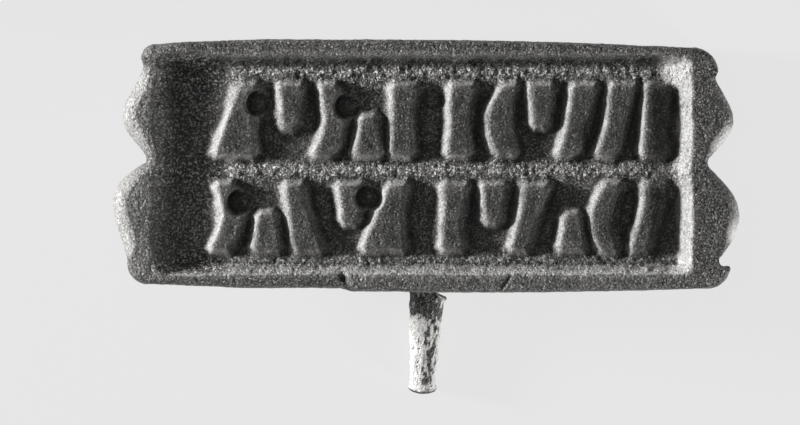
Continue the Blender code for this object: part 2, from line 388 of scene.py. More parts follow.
@dataclass(frozen=True)
class TracedOutline:
    """The outline as a table: distance travelled, and the place, outward direction and rounding there."""

    travelled: Array
    columns: Array
    starts: Array

    def at(self, distance: Array) -> Array:
        """Rows of x, y, outward x, outward y and rounding at distances along the outline.

        Args:
            distance: the distances, which may also go past the whole length.

        Returns:
            One row for each distance.
        """
        whole = self.travelled[-1]
        wrapped = np.mod(distance, whole)
        return np.column_stack([np.interp(wrapped, self.travelled, c) for c in self.columns.T])

    def distance_where(self, column: int, wanted: Array, first: int, last: int) -> Array:
        """Distances where x (column 0) or y (column 1) has the wanted values.

        Args:
            column: 0 for x, 1 for y.
            wanted: the values to be met.
            first: the stretch where the search starts.
            last: the stretch where it ends, itself included.

        Returns:
            A distance along the outline for each wanted value.
        """
        low = self.starts[first]
        high = self.starts[last + 1] if last + 1 < len(self.starts) else self.travelled[-1]
        inside = (self.travelled >= low) & (self.travelled <= high)
        values = self.columns[inside, column]
        distances = self.travelled[inside]
        if values[0] > values[-1]:
            values, distances = values[::-1], distances[::-1]
        return np.interp(wanted, values, distances)


@dataclass(frozen=True)
class StrokeShape:
    """A raised stroke's shape: its lean and bow, its half widths, and the share of the row where it stands.

    The waist is what the half width loses half way up.
    """

    lean: float
    bow: float
    foot: float
    head: float
    waist: float
    start: float = 0.0
    end: float = 1.0


class StrokeForm(Enum):
    """The forms that a raised stroke takes."""

    STAVE = StrokeShape(0.4, -0.2, 1.45, 1.6, 0.35)
    WEDGE = StrokeShape(1.6, -0.2, 2.5, 1.2, 0.2)
    SLANT = StrokeShape(2.0, 0.1, 1.2, 1.6, 0.2)
    BACK_SLANT = StrokeShape(-1.6, -0.2, 1.8, 1.2, 0.2)
    BOW = StrokeShape(0.5, -1.1, 1.2, 1.1, -0.1)
    BACK_BOW = StrokeShape(0.5, 1.1, 1.3, 1.1, -0.1)
    COMMA = StrokeShape(0.6, 0.2, 0.7, 1.6, 0.1, start=0.4)
    SPUR = StrokeShape(-0.3, 0.2, 1.7, 0.7, 0.1, end=0.55)


@dataclass(frozen=True)
class StrokeRow:
    """One row of raised strokes: its lowest and highest reach, and the strokes with their places."""

    bottom: float
    top: float
    strokes: tuple[tuple[StrokeForm, float], ...]


@dataclass(frozen=True)
class SunkenField:
    """The sunken field of the face: floor, four walls, two rows of strokes and the round pits.

    A wall's run is its width. A softening adds to it, and a lip shift moves its upper edge outwards.
    """

    depth: float = 1.9
    floor_left: float = -27.4
    floor_right: float = 28.2
    floor_top: float = 11.0
    floor_bottom: float = -10.9
    wall_run: float = 1.45
    wall_wander: float = 0.6
    wall_profile: Table = Table((0.0, 0.05, 0.14, 0.86, 0.95, 1.0), (0.0, 0.015, 0.1, 0.91, 0.985, 1.0))
    corner_power: float = 2.6
    left_wall_run: float = 2.7
    left_wall: Rise = Rise(-0.6, 1.35)
    right_lip_shift: float = 0.3
    right_softening: float = 0.25
    right_swell: float = 0.85
    right_swell_place: Bell = Bell(-0.8, 1.5)
    corner_fill: float = 1.5
    corner_fill_place: Rise = Rise(6.4, 10.8)
    soft_top: Rise = Rise(-21.5, -28.5)
    top_lip_shift: float = 0.45
    top_softening: float = 1.3
    stroke_height: float = 1.5
    stroke_flank: float = 0.9
    stroke_shoulder: float = 0.45
    stroke_foot: float = 1.0
    stroke_corner: float = 0.45
    stroke_search: float = 2.2
    rib_height: float = 0.28
    ribs: tuple[Bell, ...] = (Bell(-0.5, 0.75), Bell(10.6, 0.7))
    pocket_depth: float = 0.5
    pocket: Bell = Bell(-25.2, 3.2, 6)
    upper_row: StrokeRow = StrokeRow(0.2, 9.9, (
        (StrokeForm.WEDGE, -20.6), (StrokeForm.COMMA, -15.4), (StrokeForm.BACK_BOW, -11.2),
        (StrokeForm.SPUR, -6.6), (StrokeForm.STAVE, -2.5), (StrokeForm.STAVE, 3.9),
        (StrokeForm.BOW, 9.2), (StrokeForm.COMMA, 12.6), (StrokeForm.SLANT, 16.8),
        (StrokeForm.SLANT, 21.2), (StrokeForm.STAVE, 25.7),
    ))
    lower_row: StrokeRow = StrokeRow(-10.3, -1.2, (
        (StrokeForm.BACK_BOW, -22.8), (StrokeForm.SPUR, -18.0), (StrokeForm.BACK_SLANT, -13.9),
        (StrokeForm.COMMA, -8.7), (StrokeForm.WEDGE, -3.9), (StrokeForm.STAVE, 3.2),
        (StrokeForm.COMMA, 7.3), (StrokeForm.SLANT, 11.4), (StrokeForm.SPUR, 16.2),
        (StrokeForm.BOW, 20.7), (StrokeForm.SLANT, 24.9),
    ))
    pits: tuple[tuple[float, float], ...] = (
        (-18.6, 6.9), (-8.6, 6.6), (0.8, 7.4), (-20.7, -4.1), (-6.3, -3.6),
    )
    no_pit: float = 5.0
    pit_profile: Table = Table(
        (0.0, 0.9, 1.25, 1.4, 1.6, 1.8, 2.2), (-2.3, -2.28, -2.1, -1.6, -0.6, -0.2, 5.0)
    )

    def floor_share(self, x: Array, y: Array, wander: Array, shelter: Array) -> Array:
        """How far down the walls each place is: 0 on the rim, 1 on the floor.

        Each wall gives its own share of the way from its lip to its foot. What is left over of the four is
        joined by a power mean, which rounds the corners. The right wall's foot swells into the field near the
        middle and fills the upper corner, and the top wall is longer and softer at its left end.

        Args:
            x: places along the plate.
            y: places up the plate.
            wander: small shifts that keep the walls from being straight.
            shelter: 0 at the plate's left edge and 1 away from it, which keeps the soft left wall off it.

        Returns:
            The shares.
        """
        swell = self.right_swell * self.right_swell_place(y) + self.corner_fill * self.corner_fill_place(y)
        right_lip = self.floor_right + self.wall_run + self.right_lip_shift
        right_run = self.wall_run + self.right_lip_shift + self.right_softening + swell
        soft = self.soft_top(x)
        top_lip = self.floor_top + self.wall_run + self.top_lip_shift * soft
        shifted = self.wall_wander * wander
        left = (x - (self.floor_left - self.left_wall_run) + wander) / self.left_wall_run
        right = (right_lip - x + wander) / right_run
        top = (top_lip - y + shifted) / (self.wall_run + self.top_softening * soft)
        bottom = (y - (self.floor_bottom - self.wall_run) + shifted) / self.wall_run
        walls = (self.left_wall(left) * shelter, right, top, bottom)
        missing = sum((1.0 - np.clip(wall, 0.0, 1.0)) ** self.corner_power for wall in walls)
        return np.clip(1.0 - missing ** (1.0 / self.corner_power), 0.0, 1.0)

    def wall_height(self, share: Array) -> Array:
        """Height of the walls and floor: straight slopes, with a rounded lip and a fillet at the foot."""
        return -self.depth * self.wall_profile(share)

    def stroke_gap(self, x: Array, y: Array, row: StrokeRow, index: int) -> Array:
        """Distance from each place to the edge of one stroke's top, negative on the stroke.

        The stroke has a bowed middle line and a half width that goes from the foot's to the head's and draws
        in between them. The gap is the largest of three: sideways from the sides, upwards or downwards from
        the straight ends, and slantwise from the cut corners.

        Args:
            x: places along the plate.
            y: places up the plate.
            row: the row that the stroke stands in.
            index: which stroke of the row.

        Returns:
            The gaps.
        """
        form, place = row.strokes[index]
        shape = form.value
        low = row.bottom + self.stroke_flank
        length = row.top - self.stroke_flank - low
        t = np.clip((y - low) / length, shape.start, shape.end)
        swing = np.sin(np.pi * t)
        middle = place + shape.lean * (t - 0.5) + shape.bow * swing
        half_width = shape.foot + (shape.head - shape.foot) * t - shape.waist * swing
        sideways = np.abs(x - middle) - half_width
        endways = np.maximum(low + length * shape.start - y, y - low - length * shape.end)
        slantwise = (sideways + endways + self.stroke_corner) * math.sqrt(0.5)
        return np.maximum(np.maximum(sideways, endways), slantwise)

    def strokes_height(self, x: Array, y: Array, wander: Array, spread: Array) -> Array:
        """Height of the strokes over the floor, from the gap to each stroke's edge.

        Args:
            x: places along the plate.
            y: places up the plate.
            wander: small shifts of the edges.
            spread: how far the flanks spread at each place, as a factor.

        Returns:
            The heights, 0 where no stroke stands.
        """
        total = np.zeros(len(x))
        reach = self.stroke_search
        for row in (self.upper_row, self.lower_row):
            for index, (form, place) in enumerate(row.strokes):
                shape = form.value
                side = abs(shape.lean) / 2.0 + abs(shape.bow) + max(shape.foot, shape.head) + reach
                near = (np.abs(x - place) < side) & (y > row.bottom - reach) & (y < row.top + reach)
                gap = self.stroke_gap(x[near], y[near], row, index) + wander[near]
                gap = np.where(gap > 0.0, gap / spread[near], gap)
                rise = self.stroke_height * (1.0 - smooth_step(gap, -self.stroke_shoulder, self.stroke_foot))
                total[near] = np.maximum(total[near], rise)
        return total

    def floor_relief(self, x: Array, y: Array) -> Array:
        """The floor's own relief: ribs between and over the rows, and a pocket at the left end.

        Args:
            x: places along the plate.
            y: places up the plate.

        Returns:
            How far the floor stands over its even level.
        """
        rib = sum(bell(y) for bell in self.ribs)
        pocket = self.pocket(x)
        return self.rib_height * rib * (1.0 - pocket) - self.pocket_depth * pocket

    def pits_height(self, x: Array, y: Array, wander: Array) -> Array:
        """The surface inside the round pits, and a great height everywhere else.

        Args:
            x: places along the plate.
            y: places up the plate.
            wander: small shifts of the pits' edges.

        Returns:
            The heights.
        """
        total = np.full(len(x), self.no_pit)
        for pit_x, pit_y in self.pits:
            total = np.minimum(total, self.pit_profile(np.hypot(x - pit_x, y - pit_y) + wander))
        return total


@dataclass(frozen=True)
class Hurt:
    """A place where metal is missing: where it is, which way it went in, how wide and how deep."""

    place: tuple[float, float, float]
    inward: tuple[float, float, float]
    reach: float
    depth: float


@dataclass(frozen=True)
class Scratch:
    """A groove across the face, from one end to the other with a bow, in plate millimetres."""

    start: tuple[float, float]
    end: tuple[float, float]
    bow: float
    half_width: float
    depth: float


@dataclass(frozen=True)
class Age:
    """What use and burial did to the casting: nicks in its edges, scratches and the flaw in the lower rim."""

    hurts: tuple[Hurt, ...] = (
        Hurt((-9.3, 14.1, -0.5), (0.0, -1.0, -0.2), 0.55, 0.3),
        Hurt((-2.35, 14.1, -0.3), (0.0, -1.0, -0.3), 0.3, 0.22),
        Hurt((14.7, 14.0, -0.3), (0.0, -1.0, -0.3), 0.4, 0.24),
        Hurt((24.0, 13.7, -0.3), (0.0, -1.0, -0.3), 0.3, 0.26),
        Hurt((19.2, 13.9, 0.0), (0.0, -0.4, -1.0), 0.35, 0.18),
        Hurt((6.6, -13.9, -0.2), (0.0, 1.0, -0.5), 0.4, 0.22),
        Hurt((-9.2, -12.5, 0.0), (0.0, 0.0, -1.0), 0.5, 0.32),
        Hurt((-8.6, -14.1, -0.2), (0.2, 1.0, -0.4), 0.45, 0.34),
        Hurt((-12.6, -13.0, 0.0), (0.0, 0.0, -1.0), 0.7, 0.12),
        Hurt((30.7, -2.5, 0.0), (0.0, 0.0, -1.0), 0.5, 0.08),
        Hurt((-25.0, 13.0, 0.0), (0.0, 0.0, -1.0), 0.9, 0.1),
    )
    scratches: tuple[Scratch, ...] = (
        Scratch((9.4, -12.4), (7.9, -14.2), 0.22, 0.2, 0.2),
        Scratch((-9.35, -12.1), (-8.3, -14.3), -0.15, 0.28, 0.24),
        Scratch((-24.2, 11.6), (-25.9, 13.4), 0.1, 0.2, 0.05),
        Scratch((-5.6, 1.9), (-6.9, 3.4), 0.1, 0.22, 0.12),
        Scratch((12.6, 13.3), (15.6, 12.9), 0.05, 0.18, 0.07),
    )
    rim_step: Zone = Zone(0.14, x=(-8.65, -9.25, -24.0, -11.0), y=(-11.9, -12.6), z=(-3.5, 0.0))
    edge_shift: Zone = Zone(0.3, x=(-8.1, -9.6, -21.0, -10.5), y=(-12.6, -13.6))
    scratched_depth: Rise = Rise(-2.2, -0.6)

    def apply(self, points: Array) -> Array:
        """Moves points where metal is missing.

        A nick pushes points along its inward direction by its depth times the exponential of the negative
        squared distance over the reach. A scratch lowers them by its depth times the same curve of the
        distance to a bowed line. Left of the flaw the lower rim is lower, and its outer edge lies further in.

        Args:
            points: places on the surface.

        Returns:
            The moved places.
        """
        moved = points.copy()
        spots = dict(zip("xyz", points.T))
        moved[:, 2] -= self.rim_step.at(spots)
        moved[:, 1] += self.edge_shift.at(spots)
        for hurt in self.hurts:
            squared = np.sum((points - np.array(hurt.place)) ** 2, axis=1) / hurt.reach**2
            direction = np.array(hurt.inward) / np.linalg.norm(hurt.inward)
            moved += direction * (hurt.depth * np.exp(-squared))[:, None]
        front = self.scratched_depth(spots["z"])
        for scratch in self.scratches:
            start = np.array(scratch.start)
            run = np.array(scratch.end) - start
            length = float(np.hypot(*run))
            share = np.clip((points[:, :2] - start) @ run / length**2, 0.0, 1.0)
            left = np.array((-run[1], run[0])) / length
            line = start + share[:, None] * run + (scratch.bow * np.sin(np.pi * share))[:, None] * left
            distance = np.hypot(*(points[:, :2] - line).T) / scratch.half_width
            moved[:, 2] -= scratch.depth * np.exp(-(distance**2)) * front
        return moved


@dataclass(frozen=True)
class CastSkin:
    """The unevenness that the mould left, as small moves of the surface."""

    waves: tuple[Noise, ...] = (Noise(0.05, 3.4, 11), Noise(0.035, 1.1, 12))
    grain: Noise = Noise(0.08, 0.42, 13)
    even_share: float = 0.6
    gritty_share: float = 0.9

    def moves(self, points: Array, grit: float | Array) -> Array:
        """How far each place stands out of the smooth form.

        The waves count everywhere. The grain counts by how gritty the place is, more than in step with it.

        Args:
            points: places on the surface.
            grit: 0 where the skin is smooth and 1 where it is rough.

        Returns:
            The moves.
        """
        weight = grit * (self.even_share + self.gritty_share * grit)
        return sum(wave(points) for wave in self.waves) + weight * self.grain(points)


@dataclass(frozen=True)
class Counts:
    """How many cells the grids have: left, middle and right along the plate, then bottom, middle and top."""

    columns: tuple[int, int, int] = (32, 316, 28)
    rows: tuple[int, int, int] = (24, 104, 24)

    def halved(self) -> "Counts":
        """The same blocks with cells twice as large."""
        return Counts(tuple(n // 2 for n in self.columns), tuple(n // 2 for n in self.rows))

    @property
    def across(self) -> int:
        """Cells along the plate."""
        return sum(self.columns)

    @property
    def high(self) -> int:
        """Cells up the plate."""
        return sum(self.rows)


def patch(bottom: Array, top: Array, left: Array, right: Array) -> Array:
    """A grid of places inside four sides.

    The straight blend of bottom and top, plus the straight blend of left and right, less the blend of the
    four corners, which both of them hold.

    Args:
        bottom: places from left to right.
        top: places from left to right.
        left: places from bottom to top.
        right: places from bottom to top.

    Returns:
        Rows of places from bottom to top.
    """
    u = np.linspace(0.0, 1.0, len(bottom))[None, :, None]
    v = np.linspace(0.0, 1.0, len(left))[:, None, None]
    blend = (1 - v) * bottom[None] + v * top[None] + (1 - u) * left[:, None] + u * right[:, None]
    corners = (1 - u) * ((1 - v) * bottom[0] + v * top[0]) + u * ((1 - v) * bottom[-1] + v * top[-1])
    return blend - corners


@dataclass(frozen=True)
class FaceGrid:
    """Lays a grid of nearly square cells into the plate's outline, straight in the middle of the plate.

    Its corners lie at a share of a stretch each: upper left, upper right, lower right and lower left. The
    straight lines between them end on the first to the last of the stretches named for each side.
    """

    inner_x: tuple[float, float] = (-28.5, 28.5)
    inner_y: tuple[float, float] = (-9.5, 9.0)
    corner_stretches: tuple[int, int, int, int] = (15, 2, 8, 10)
    corner_shares: tuple[float, float, float, float] = (0.5, 0.5, 0.0, 0.5)
    top_stretches: tuple[int, int] = (0, 1)
    right_stretches: tuple[int, int] = (4, 5)
    bottom_stretches: tuple[int, int] = (9, 9)
    left_stretches: tuple[int, int] = (11, 13)

    def loop_distances(self, outline: TracedOutline, counts: Counts) -> Array:
        """Distances along the outline of the grid's edge nodes, clockwise from the upper left corner.

        Args:
            outline: the traced outline.
            counts: the numbers of cells.

        Returns:
            One distance for each node.
        """
        left, middle, right = counts.columns
        bottom, centre, top = counts.rows
        whole = outline.travelled[-1]
        ends = np.append(outline.starts, whole)
        corner_a, corner_b, corner_c, corner_d = (
            ends[stretch] + (ends[stretch + 1] - ends[stretch]) * share
            for stretch, share in zip(self.corner_stretches, self.corner_shares)
        )
        corner_a -= whole
        x_nodes = np.linspace(*self.inner_x, middle + 1)
        y_nodes = np.linspace(*self.inner_y, centre + 1)
        upper = outline.distance_where(0, x_nodes, *self.top_stretches)
        lower = outline.distance_where(0, x_nodes[::-1], *self.bottom_stretches)
        right_upper = outline.distance_where(1, y_nodes[::-1], *self.right_stretches)
        left_lower = outline.distance_where(1, y_nodes, *self.left_stretches)
        pieces = (
            np.linspace(corner_a, upper[0], left + 1)[:-1], upper[:-1],
            np.linspace(upper[-1], corner_b, right + 1)[:-1],
            np.linspace(corner_b, right_upper[0], top + 1)[:-1], right_upper[:-1],
            np.linspace(right_upper[-1], corner_c, bottom + 1)[:-1],
            np.linspace(corner_c, lower[0], right + 1)[:-1], lower[:-1],
            np.linspace(lower[-1], corner_d, left + 1)[:-1],
            np.linspace(corner_d, left_lower[0], bottom + 1)[:-1], left_lower[:-1],
            np.linspace(left_lower[-1], corner_a + whole, top + 1)[:-1],
        )
        return np.concatenate(pieces)

    def fill(self, loop: Array, counts: Counts) -> Array:
        """The grid's places, from its edge loop.

        Nine patches fill the plate: four at the corners, four along the sides and one in the middle, whose
        lines are straight.

        Args:
            loop: the edge nodes, clockwise from the upper left corner.
            counts: the numbers of cells.

        Returns:
            An array of rows from bottom to top, columns from left to right, and x and y.
        """
        across, high = counts.across, counts.high
        closed = np.concatenate((loop, loop[:1]))
        top = closed[: across + 1]
        right = closed[across : across + high + 1][::-1]
        bottom = closed[across + high : 2 * across + high + 1][::-1]
        left = closed[2 * across + high :]
        column_stops = np.concatenate(((0,), np.cumsum(counts.columns)))
        row_stops = np.concatenate(((0,), np.cumsum(counts.rows)))
        levels = [bottom]
        for stop, level_y in zip(row_stops[1:3], self.inner_y):
            posts = (left[stop], (self.inner_x[0], level_y), (self.inner_x[1], level_y), right[stop])
            levels.append(self._broken_line(posts, counts.columns))
        levels.append(top)
        uprights = [left]
        for stop, upright_x in zip(column_stops[1:3], self.inner_x):
            posts = (bottom[stop], (upright_x, self.inner_y[0]), (upright_x, self.inner_y[1]), top[stop])
            uprights.append(self._broken_line(posts, counts.rows))
        uprights.append(right)
        places = np.zeros((high + 1, across + 1, 2))
        for row, column in product(range(3), range(3)):
            in_rows = slice(row_stops[row], row_stops[row + 1] + 1)
            in_columns = slice(column_stops[column], column_stops[column + 1] + 1)
            places[in_rows, in_columns] = patch(
                levels[row][in_columns], levels[row + 1][in_columns],
                uprights[column][in_rows], uprights[column + 1][in_rows],
            )
        return places

    @staticmethod
    def _broken_line(posts: tuple, cells: tuple[int, int, int]) -> Array:
        """Places along three straight runs between four posts, with the given number of cells in each."""
        runs = [np.linspace(posts[i], posts[i + 1], cells[i] + 1)[:-1] for i in range(3)]
        return np.concatenate((*runs, np.array(posts[3])[None]))


def grid_edge(indices: Array) -> Array:
    """The indices round a grid's edge, clockwise from the upper left corner."""
    return np.concatenate((indices[-1, :-1], indices[:0:-1, -1], indices[0, :0:-1], indices[:-1, 0]))


def ring_faces(first: Array, second: Array) -> Array:
    """Four-sided faces between two closed loops of the same length."""
    return np.column_stack((first, np.roll(first, -1), np.roll(second, -1), second))


def grid_faces(indices: Array) -> Array:
    """Four-sided faces of a grid, facing the reader when rows go up and columns go right."""
    corners = (indices[:-1, :-1], indices[:-1, 1:], indices[1:, 1:], indices[1:, :-1])
    return np.column_stack([corner.ravel() for corner in corners])


@dataclass
class Surface:
    """A growing surface: its places, its faces and three marks for the finish at each place."""

    points: list[Array] = field(default_factory=list)
    marks: list[Array] = field(default_factory=list)
    faces: list[Array] = field(default_factory=list)
    total: int = 0

    def add_points(self, points: Array, marks: Array) -> Array:
        """Adds places.

        Args:
            points: rows of x, y and z.
            marks: rows of grit, pale (with painted light) and dark (dirt with painted shade).

        Returns:
            The indices of the new places.
        """
        indices = np.arange(self.total, self.total + len(points))
        self.points.append(points)
        self.marks.append(marks)
        self.total += len(points)
        return indices

    def add_faces(self, faces: Array) -> None:
        """Adds faces of one number of corners."""
        self.faces.append(faces)


class Mark(Enum):
    """The marks that the mesh carries for its finish."""

    GRIT = "grit"
    # The pale mark holds a whitish deposit and rubbing, and also painted light on lit walls, rims, edges and
    # the shank's lit side.
    PALE = "pale"
    # The dark mark holds dirt, and also painted shade in hollows, on the top wall, at the left end, right of
    # the last strokes and on the shank under the plate.
    SOIL = "soil"


def marks_of(count: int, *marks: float | Array) -> Array:
    """Rows of marks for a number of places: grit, pale with painted light, and dark with dirt and painted
    shade, each a number or an array.
    """
    return np.column_stack([np.broadcast_to(np.asarray(mark, float), (count,)) for mark in marks])


@dataclass(frozen=True)
class Lie:
    """How each place of the face lies: its height, what it lies on, and its coordinates for zones."""

    height: Array
    wander: Array
    strokes: Array
    on_stroke: Array
    on_floor: Array
    spots: Spots


@dataclass(frozen=True)
class FaceRelief:
    """The face's heights: the sunken field, and the unevenness that the mould left in it."""

    sunken: SunkenField = field(default_factory=SunkenField)
    wander: tuple[Noise, ...] = (Noise(0.07, 2.1, 1), Noise(0.04, 0.7, 2))
    wall_wander: float = 1.8
    pit_wander: float = 0.7
    raggedness: float = 5.0
    flank_noise: Noise = Noise(1.0, 2.6, 3)
    flank_rise: Rise = Rise(0.1, 0.8)
    flank_spread: float = 0.4
    shelter: Rise = Rise(0.0, 1.6)
    stroke_top: Rise = Rise(0.9, 1.45)
    under_lip: Rise = Rise(0.02, 0.25)
    tops: tuple[Noise, ...] = (Noise(0.06, 2.3, 4), Noise(0.03, 0.9, 5))
    pit_tops: float = 0.3
    floor_noise: Noise = Noise(0.1, 1.7, 6)
    near_floor: Rise = Rise(0.8, 1.0)
    last_strokes: Zone = Zone(0.5, x=(24.6, 27.2))

    def lie(self, x: Array, y: Array, from_left: Array) -> Lie:
        """Works out how the face lies.

        The ground is the wall's height, lifted by the floor's relief in step with how far down it is. A
        stroke fills its share of the way from the ground to its top, and a pit cuts through both. The last
        strokes slope down to the right.

        Args:
            x: places along the plate.
            y: places up the plate.
            from_left: how far each place is from the plate's left edge.

        Returns:
            The heights, and what each place lies on.
        """
        flat = np.column_stack((x, y, np.zeros(len(x))))
        wander, tops = (sum(layer(flat) for layer in layers) for layers in (self.wander, self.tops))
        spread = 1.0 + self.flank_spread * self.flank_rise(self.flank_noise(flat))
        share = self.sunken.floor_share(x, y, self.wall_wander * wander, self.shelter(from_left))
        strokes = self.sunken.strokes_height(x, y, wander, spread)
        on_stroke = self.stroke_top(strokes)
        on_floor = self.under_lip(share) * (1.0 - on_stroke)
        spots = {"x": x, "ragged_x": x + self.raggedness * wander, "y": y, "share": share}
        floor = self.sunken.floor_relief(x, y) + self.floor_noise(flat) * self.near_floor(share)
        ground = self.sunken.wall_height(share) * (1.0 - floor / self.sunken.depth)
        summit = self.sunken.stroke_height - self.sunken.depth + tops * on_stroke
        summit -= self.last_strokes.at(spots)
        height = ground + np.maximum(summit - ground, 0.0) * strokes / self.sunken.stroke_height
        pits = self.sunken.pits_height(x, y, self.pit_wander * wander) + self.pit_tops * tops
        return Lie(np.minimum(height, pits), wander, strokes, on_stroke, on_floor, spots)


@dataclass(frozen=True)
class Slopes:
    """How steep each place of the face is, how far it turns right, and how deep in a hollow it lies."""

    steep: Array
    turned_right: Array
    hollow: Array

    @classmethod
    def of(cls, places: Array, height: Array, reach: int = 5, fineness: float = 3.0) -> "Slopes":
        """Measures the finished face.

        The slopes along x and y solve two equations, one for each direction of the grid's steps. The
        steepness is 1 less the upright part of the normal, and the turn is its part along x. The hollow is
        how far a place lies under the mean of the square of nodes round it.

        Args:
            places: the grid's x and y.
            height: the grid's heights.
            reach: how many nodes the square reaches to each side.
            fineness: what a hollow of one millimetre counts.

        Returns:
            The three measures, one number for each node.
        """
        along, up = np.gradient(places, axis=1), np.gradient(places, axis=0)
        rise_along, rise_up = np.gradient(height, axis=1), np.gradient(height, axis=0)
        area = np.maximum(along[..., 0] * up[..., 1] - along[..., 1] * up[..., 0], LEAST_AREA)
        slope_x = (rise_along * up[..., 1] - rise_up * along[..., 1]) / area
        slope_y = (rise_up * along[..., 0] - rise_along * up[..., 0]) / area
        upright = 1.0 / np.sqrt(1.0 + slope_x**2 + slope_y**2)
        padded = np.pad(height, reach, mode="edge")
        sums = np.cumsum(np.cumsum(np.pad(padded, ((1, 0), (1, 0))), axis=0), axis=1)
        side = 2 * reach + 1
        square = sums[side:, side:] - sums[:-side, side:] - sums[side:, :-side] + sums[:-side, :-side]
        hollow = (square / side**2 - height) * fineness
        return cls((1.0 - upright).ravel(), (-slope_x * upright).ravel(), hollow.ravel())


@dataclass(frozen=True)
class FaceMarks:
    """Grit, pale and dark marks on the face, with painted light and shade: how much each place gets, and in
    which zones.
    """

    bands: tuple[Bell, ...] = (Bell(10.4, 1.1), Bell(-0.55, 0.9))
    lowest_band: Rise = Rise(-9.9, -11.0)
    left_floor: Zone = Zone(x=(-22.5, -24.5))
    rim_grit: float = 0.45
    floor_grit: float = 0.1
    band_grit: float = 0.55
    left_grit: float = 0.12
    stroke_smoothness: float = 0.15
    # Pale on slopes: partly a whitish deposit, mostly painted light on walls and flanks that face the key
    # lamp.
    lime_and_light: float = 0.54
    # Painted light on the right wall and the bottom wall, which face the key lamp.
    lit_wall_pale: tuple[Zone, ...] = (Zone(0.46, x=(26.9, 27.6)), Zone(0.1, y=(-10.4, -11.0)))
    # Painted shade: the field's floor at the left end, in the shadow of the left wall, loses its pale.
    left_end_shade: Zone = Zone(x=(-21.6, -23.6), ragged_x=(-31.4, -27.4), share=(0.0, 0.5))
    left_end_shade_loss: float = 0.9
    off_stroke: Rise = Rise(0.6, 0.1)
    # Painted shade: the top wall, which faces away from the key lamp, loses its pale.
    top_wall_loss: Zone = Zone(0.85, x=(27.0, 25.8), y=(10.9, 11.4))
    sloping: Rise = Rise(0.16, 0.5)
    below_rim: Rise = Rise(0.01, 0.08)
    right_facing: Rise = Rise(0.05, 0.4)
    # Painted shade: slopes that face right, away from the key lamp, lose their pale.
    right_facing_loss: float = 0.8
    band_lime: Zone = Zone(0.17, y=(-11.2, -10.6))
    # Pale on ridges: partly rubbing, partly painted highlight along the lit shoulders.
    ridge_wear_and_highlight: float = 0.2
    # Painted light: the bottom rim right of the flaw and the plate's left end made paler.
    painted_light_zones: tuple[Zone, ...] = (
        Zone(0.05, x=(-11.0, -8.5), y=(-11.8, -12.4)), Zone(0.14, ragged_x=(-26.6, -31.0)),
    )
    # Deposit and painted light in the upper right corner.
    corner_lime_and_light: float = 0.7
    corner_slant: float = 0.35
    corner_middle: float = 10.0
    corner_left: Rise = Rise(26.1, 27.0)
    corner_bottom: Rise = Rise(8.4, 9.2)
    corner_raggedness: float = 3.0
    corner_depth: Rise = Rise(0.12, 0.3)
    # Deposit and painted light on the right wall, which faces the key lamp.
    wall_lime_and_light: float = 0.58
    wall_unevenness: float = 1.2
    wall_left: Rise = Rise(27.9, 28.4)
    wall_raggedness: float = 2.0
    wall_depth: Rise = Rise(0.03, 0.14)
    stroke_soil: float = 0.55
    # Painted shade: the field's upper left corner and the top wall, in the shadow of the walls.
    painted_shade_zones: tuple[Zone, ...] = (
        Zone(0.3, x=(-19.5, -23.5), ragged_x=(-31.6, -28.6), y=(7.5, 10.5)),
        Zone(0.5, y=(10.9, 11.5), share=(0.02, 0.2)),
    )
    # Painted shade on the floor between the last strokes and the right wall.
    right_gap_shade: Zone = Zone(0.5, x=(24.3, 25.3, 27.9, 27.3))
    # Lightens the painted shade on the left end's floor.
    left_floor_lightening: float = 0.6

    def _on_bands(self, lie: Lie) -> Array:
        """1 on the floor over, between and under the rows, and 0 away from there."""
        y = lie.spots["y"]
        return lie.on_floor * np.clip(sum(band(y) for band in self.bands) + self.lowest_band(y), 0.0, 1.0)

    def grit_of(self, lie: Lie) -> Array:
        """How gritty each place is.

        Args:
            lie: how the face lies.

        Returns:
            The grit mark.
        """
        grit = self.rim_grit + self.floor_grit * lie.on_floor + self.band_grit * self._on_bands(lie)
        grit += self.left_grit * lie.on_floor * self.left_floor.at(lie.spots)
        return np.clip(grit - self.stroke_smoothness * lie.on_stroke, 0.0, 1.0)

    def _filled(self, lie: Lie) -> Array:
        """The whitish deposit and painted light that fill the upper right corner and coat the right wall,
        which faces the key lamp.

        Args:
            lie: how the face lies.

        Returns:
            The pale share, 0 away from the two.
        """
        spots, wander = lie.spots, lie.wander
        corner = self.corner_left(spots["ragged_x"] + self.corner_slant * (spots["y"] - self.corner_middle))
        corner *= self.corner_bottom(spots["y"] + self.corner_raggedness * wander)
        corner *= self.corner_lime_and_light * self.corner_depth(spots["share"])
        wall = self.wall_left(spots["x"] + self.wall_raggedness * wander)
        wall *= self.wall_lime_and_light + self.wall_unevenness * wander
        return np.maximum(corner, wall) * self.wall_depth(spots["share"])

    def _lime_and_light_of(self, lie: Lie, slopes: Slopes) -> Array:
        """How pale each place is from a whitish deposit and painted light.

        Pale lies on slopes that don't face right: painted light where they face the key lamp, more on the
        right and bottom walls. Painted shade takes it off the field's left end and the top wall. It fills the
        upper right corner with deposit and painted light, and dusts the bands.

        Args:
            lie: how the face lies.
            slopes: how steep it is.

        Returns:
            The pale share with painted light, not yet held under 1.
        """
        spots = lie.spots
        left_end_shade = self.left_end_shade.at(spots)
        lime_and_light = self.lime_and_light + sum(zone.at(spots) for zone in self.lit_wall_pale)
        # Painted shade at the left end and on the top wall.
        lime_and_light *= 1.0 - self.left_end_shade_loss * left_end_shade * self.off_stroke(lie.strokes)
        lime_and_light *= 1.0 - self.top_wall_loss.at(spots)
        lime_and_light *= self.sloping(slopes.steep) * self.below_rim(spots["share"])
        lime_and_light = np.maximum(lime_and_light, self._filled(lie))
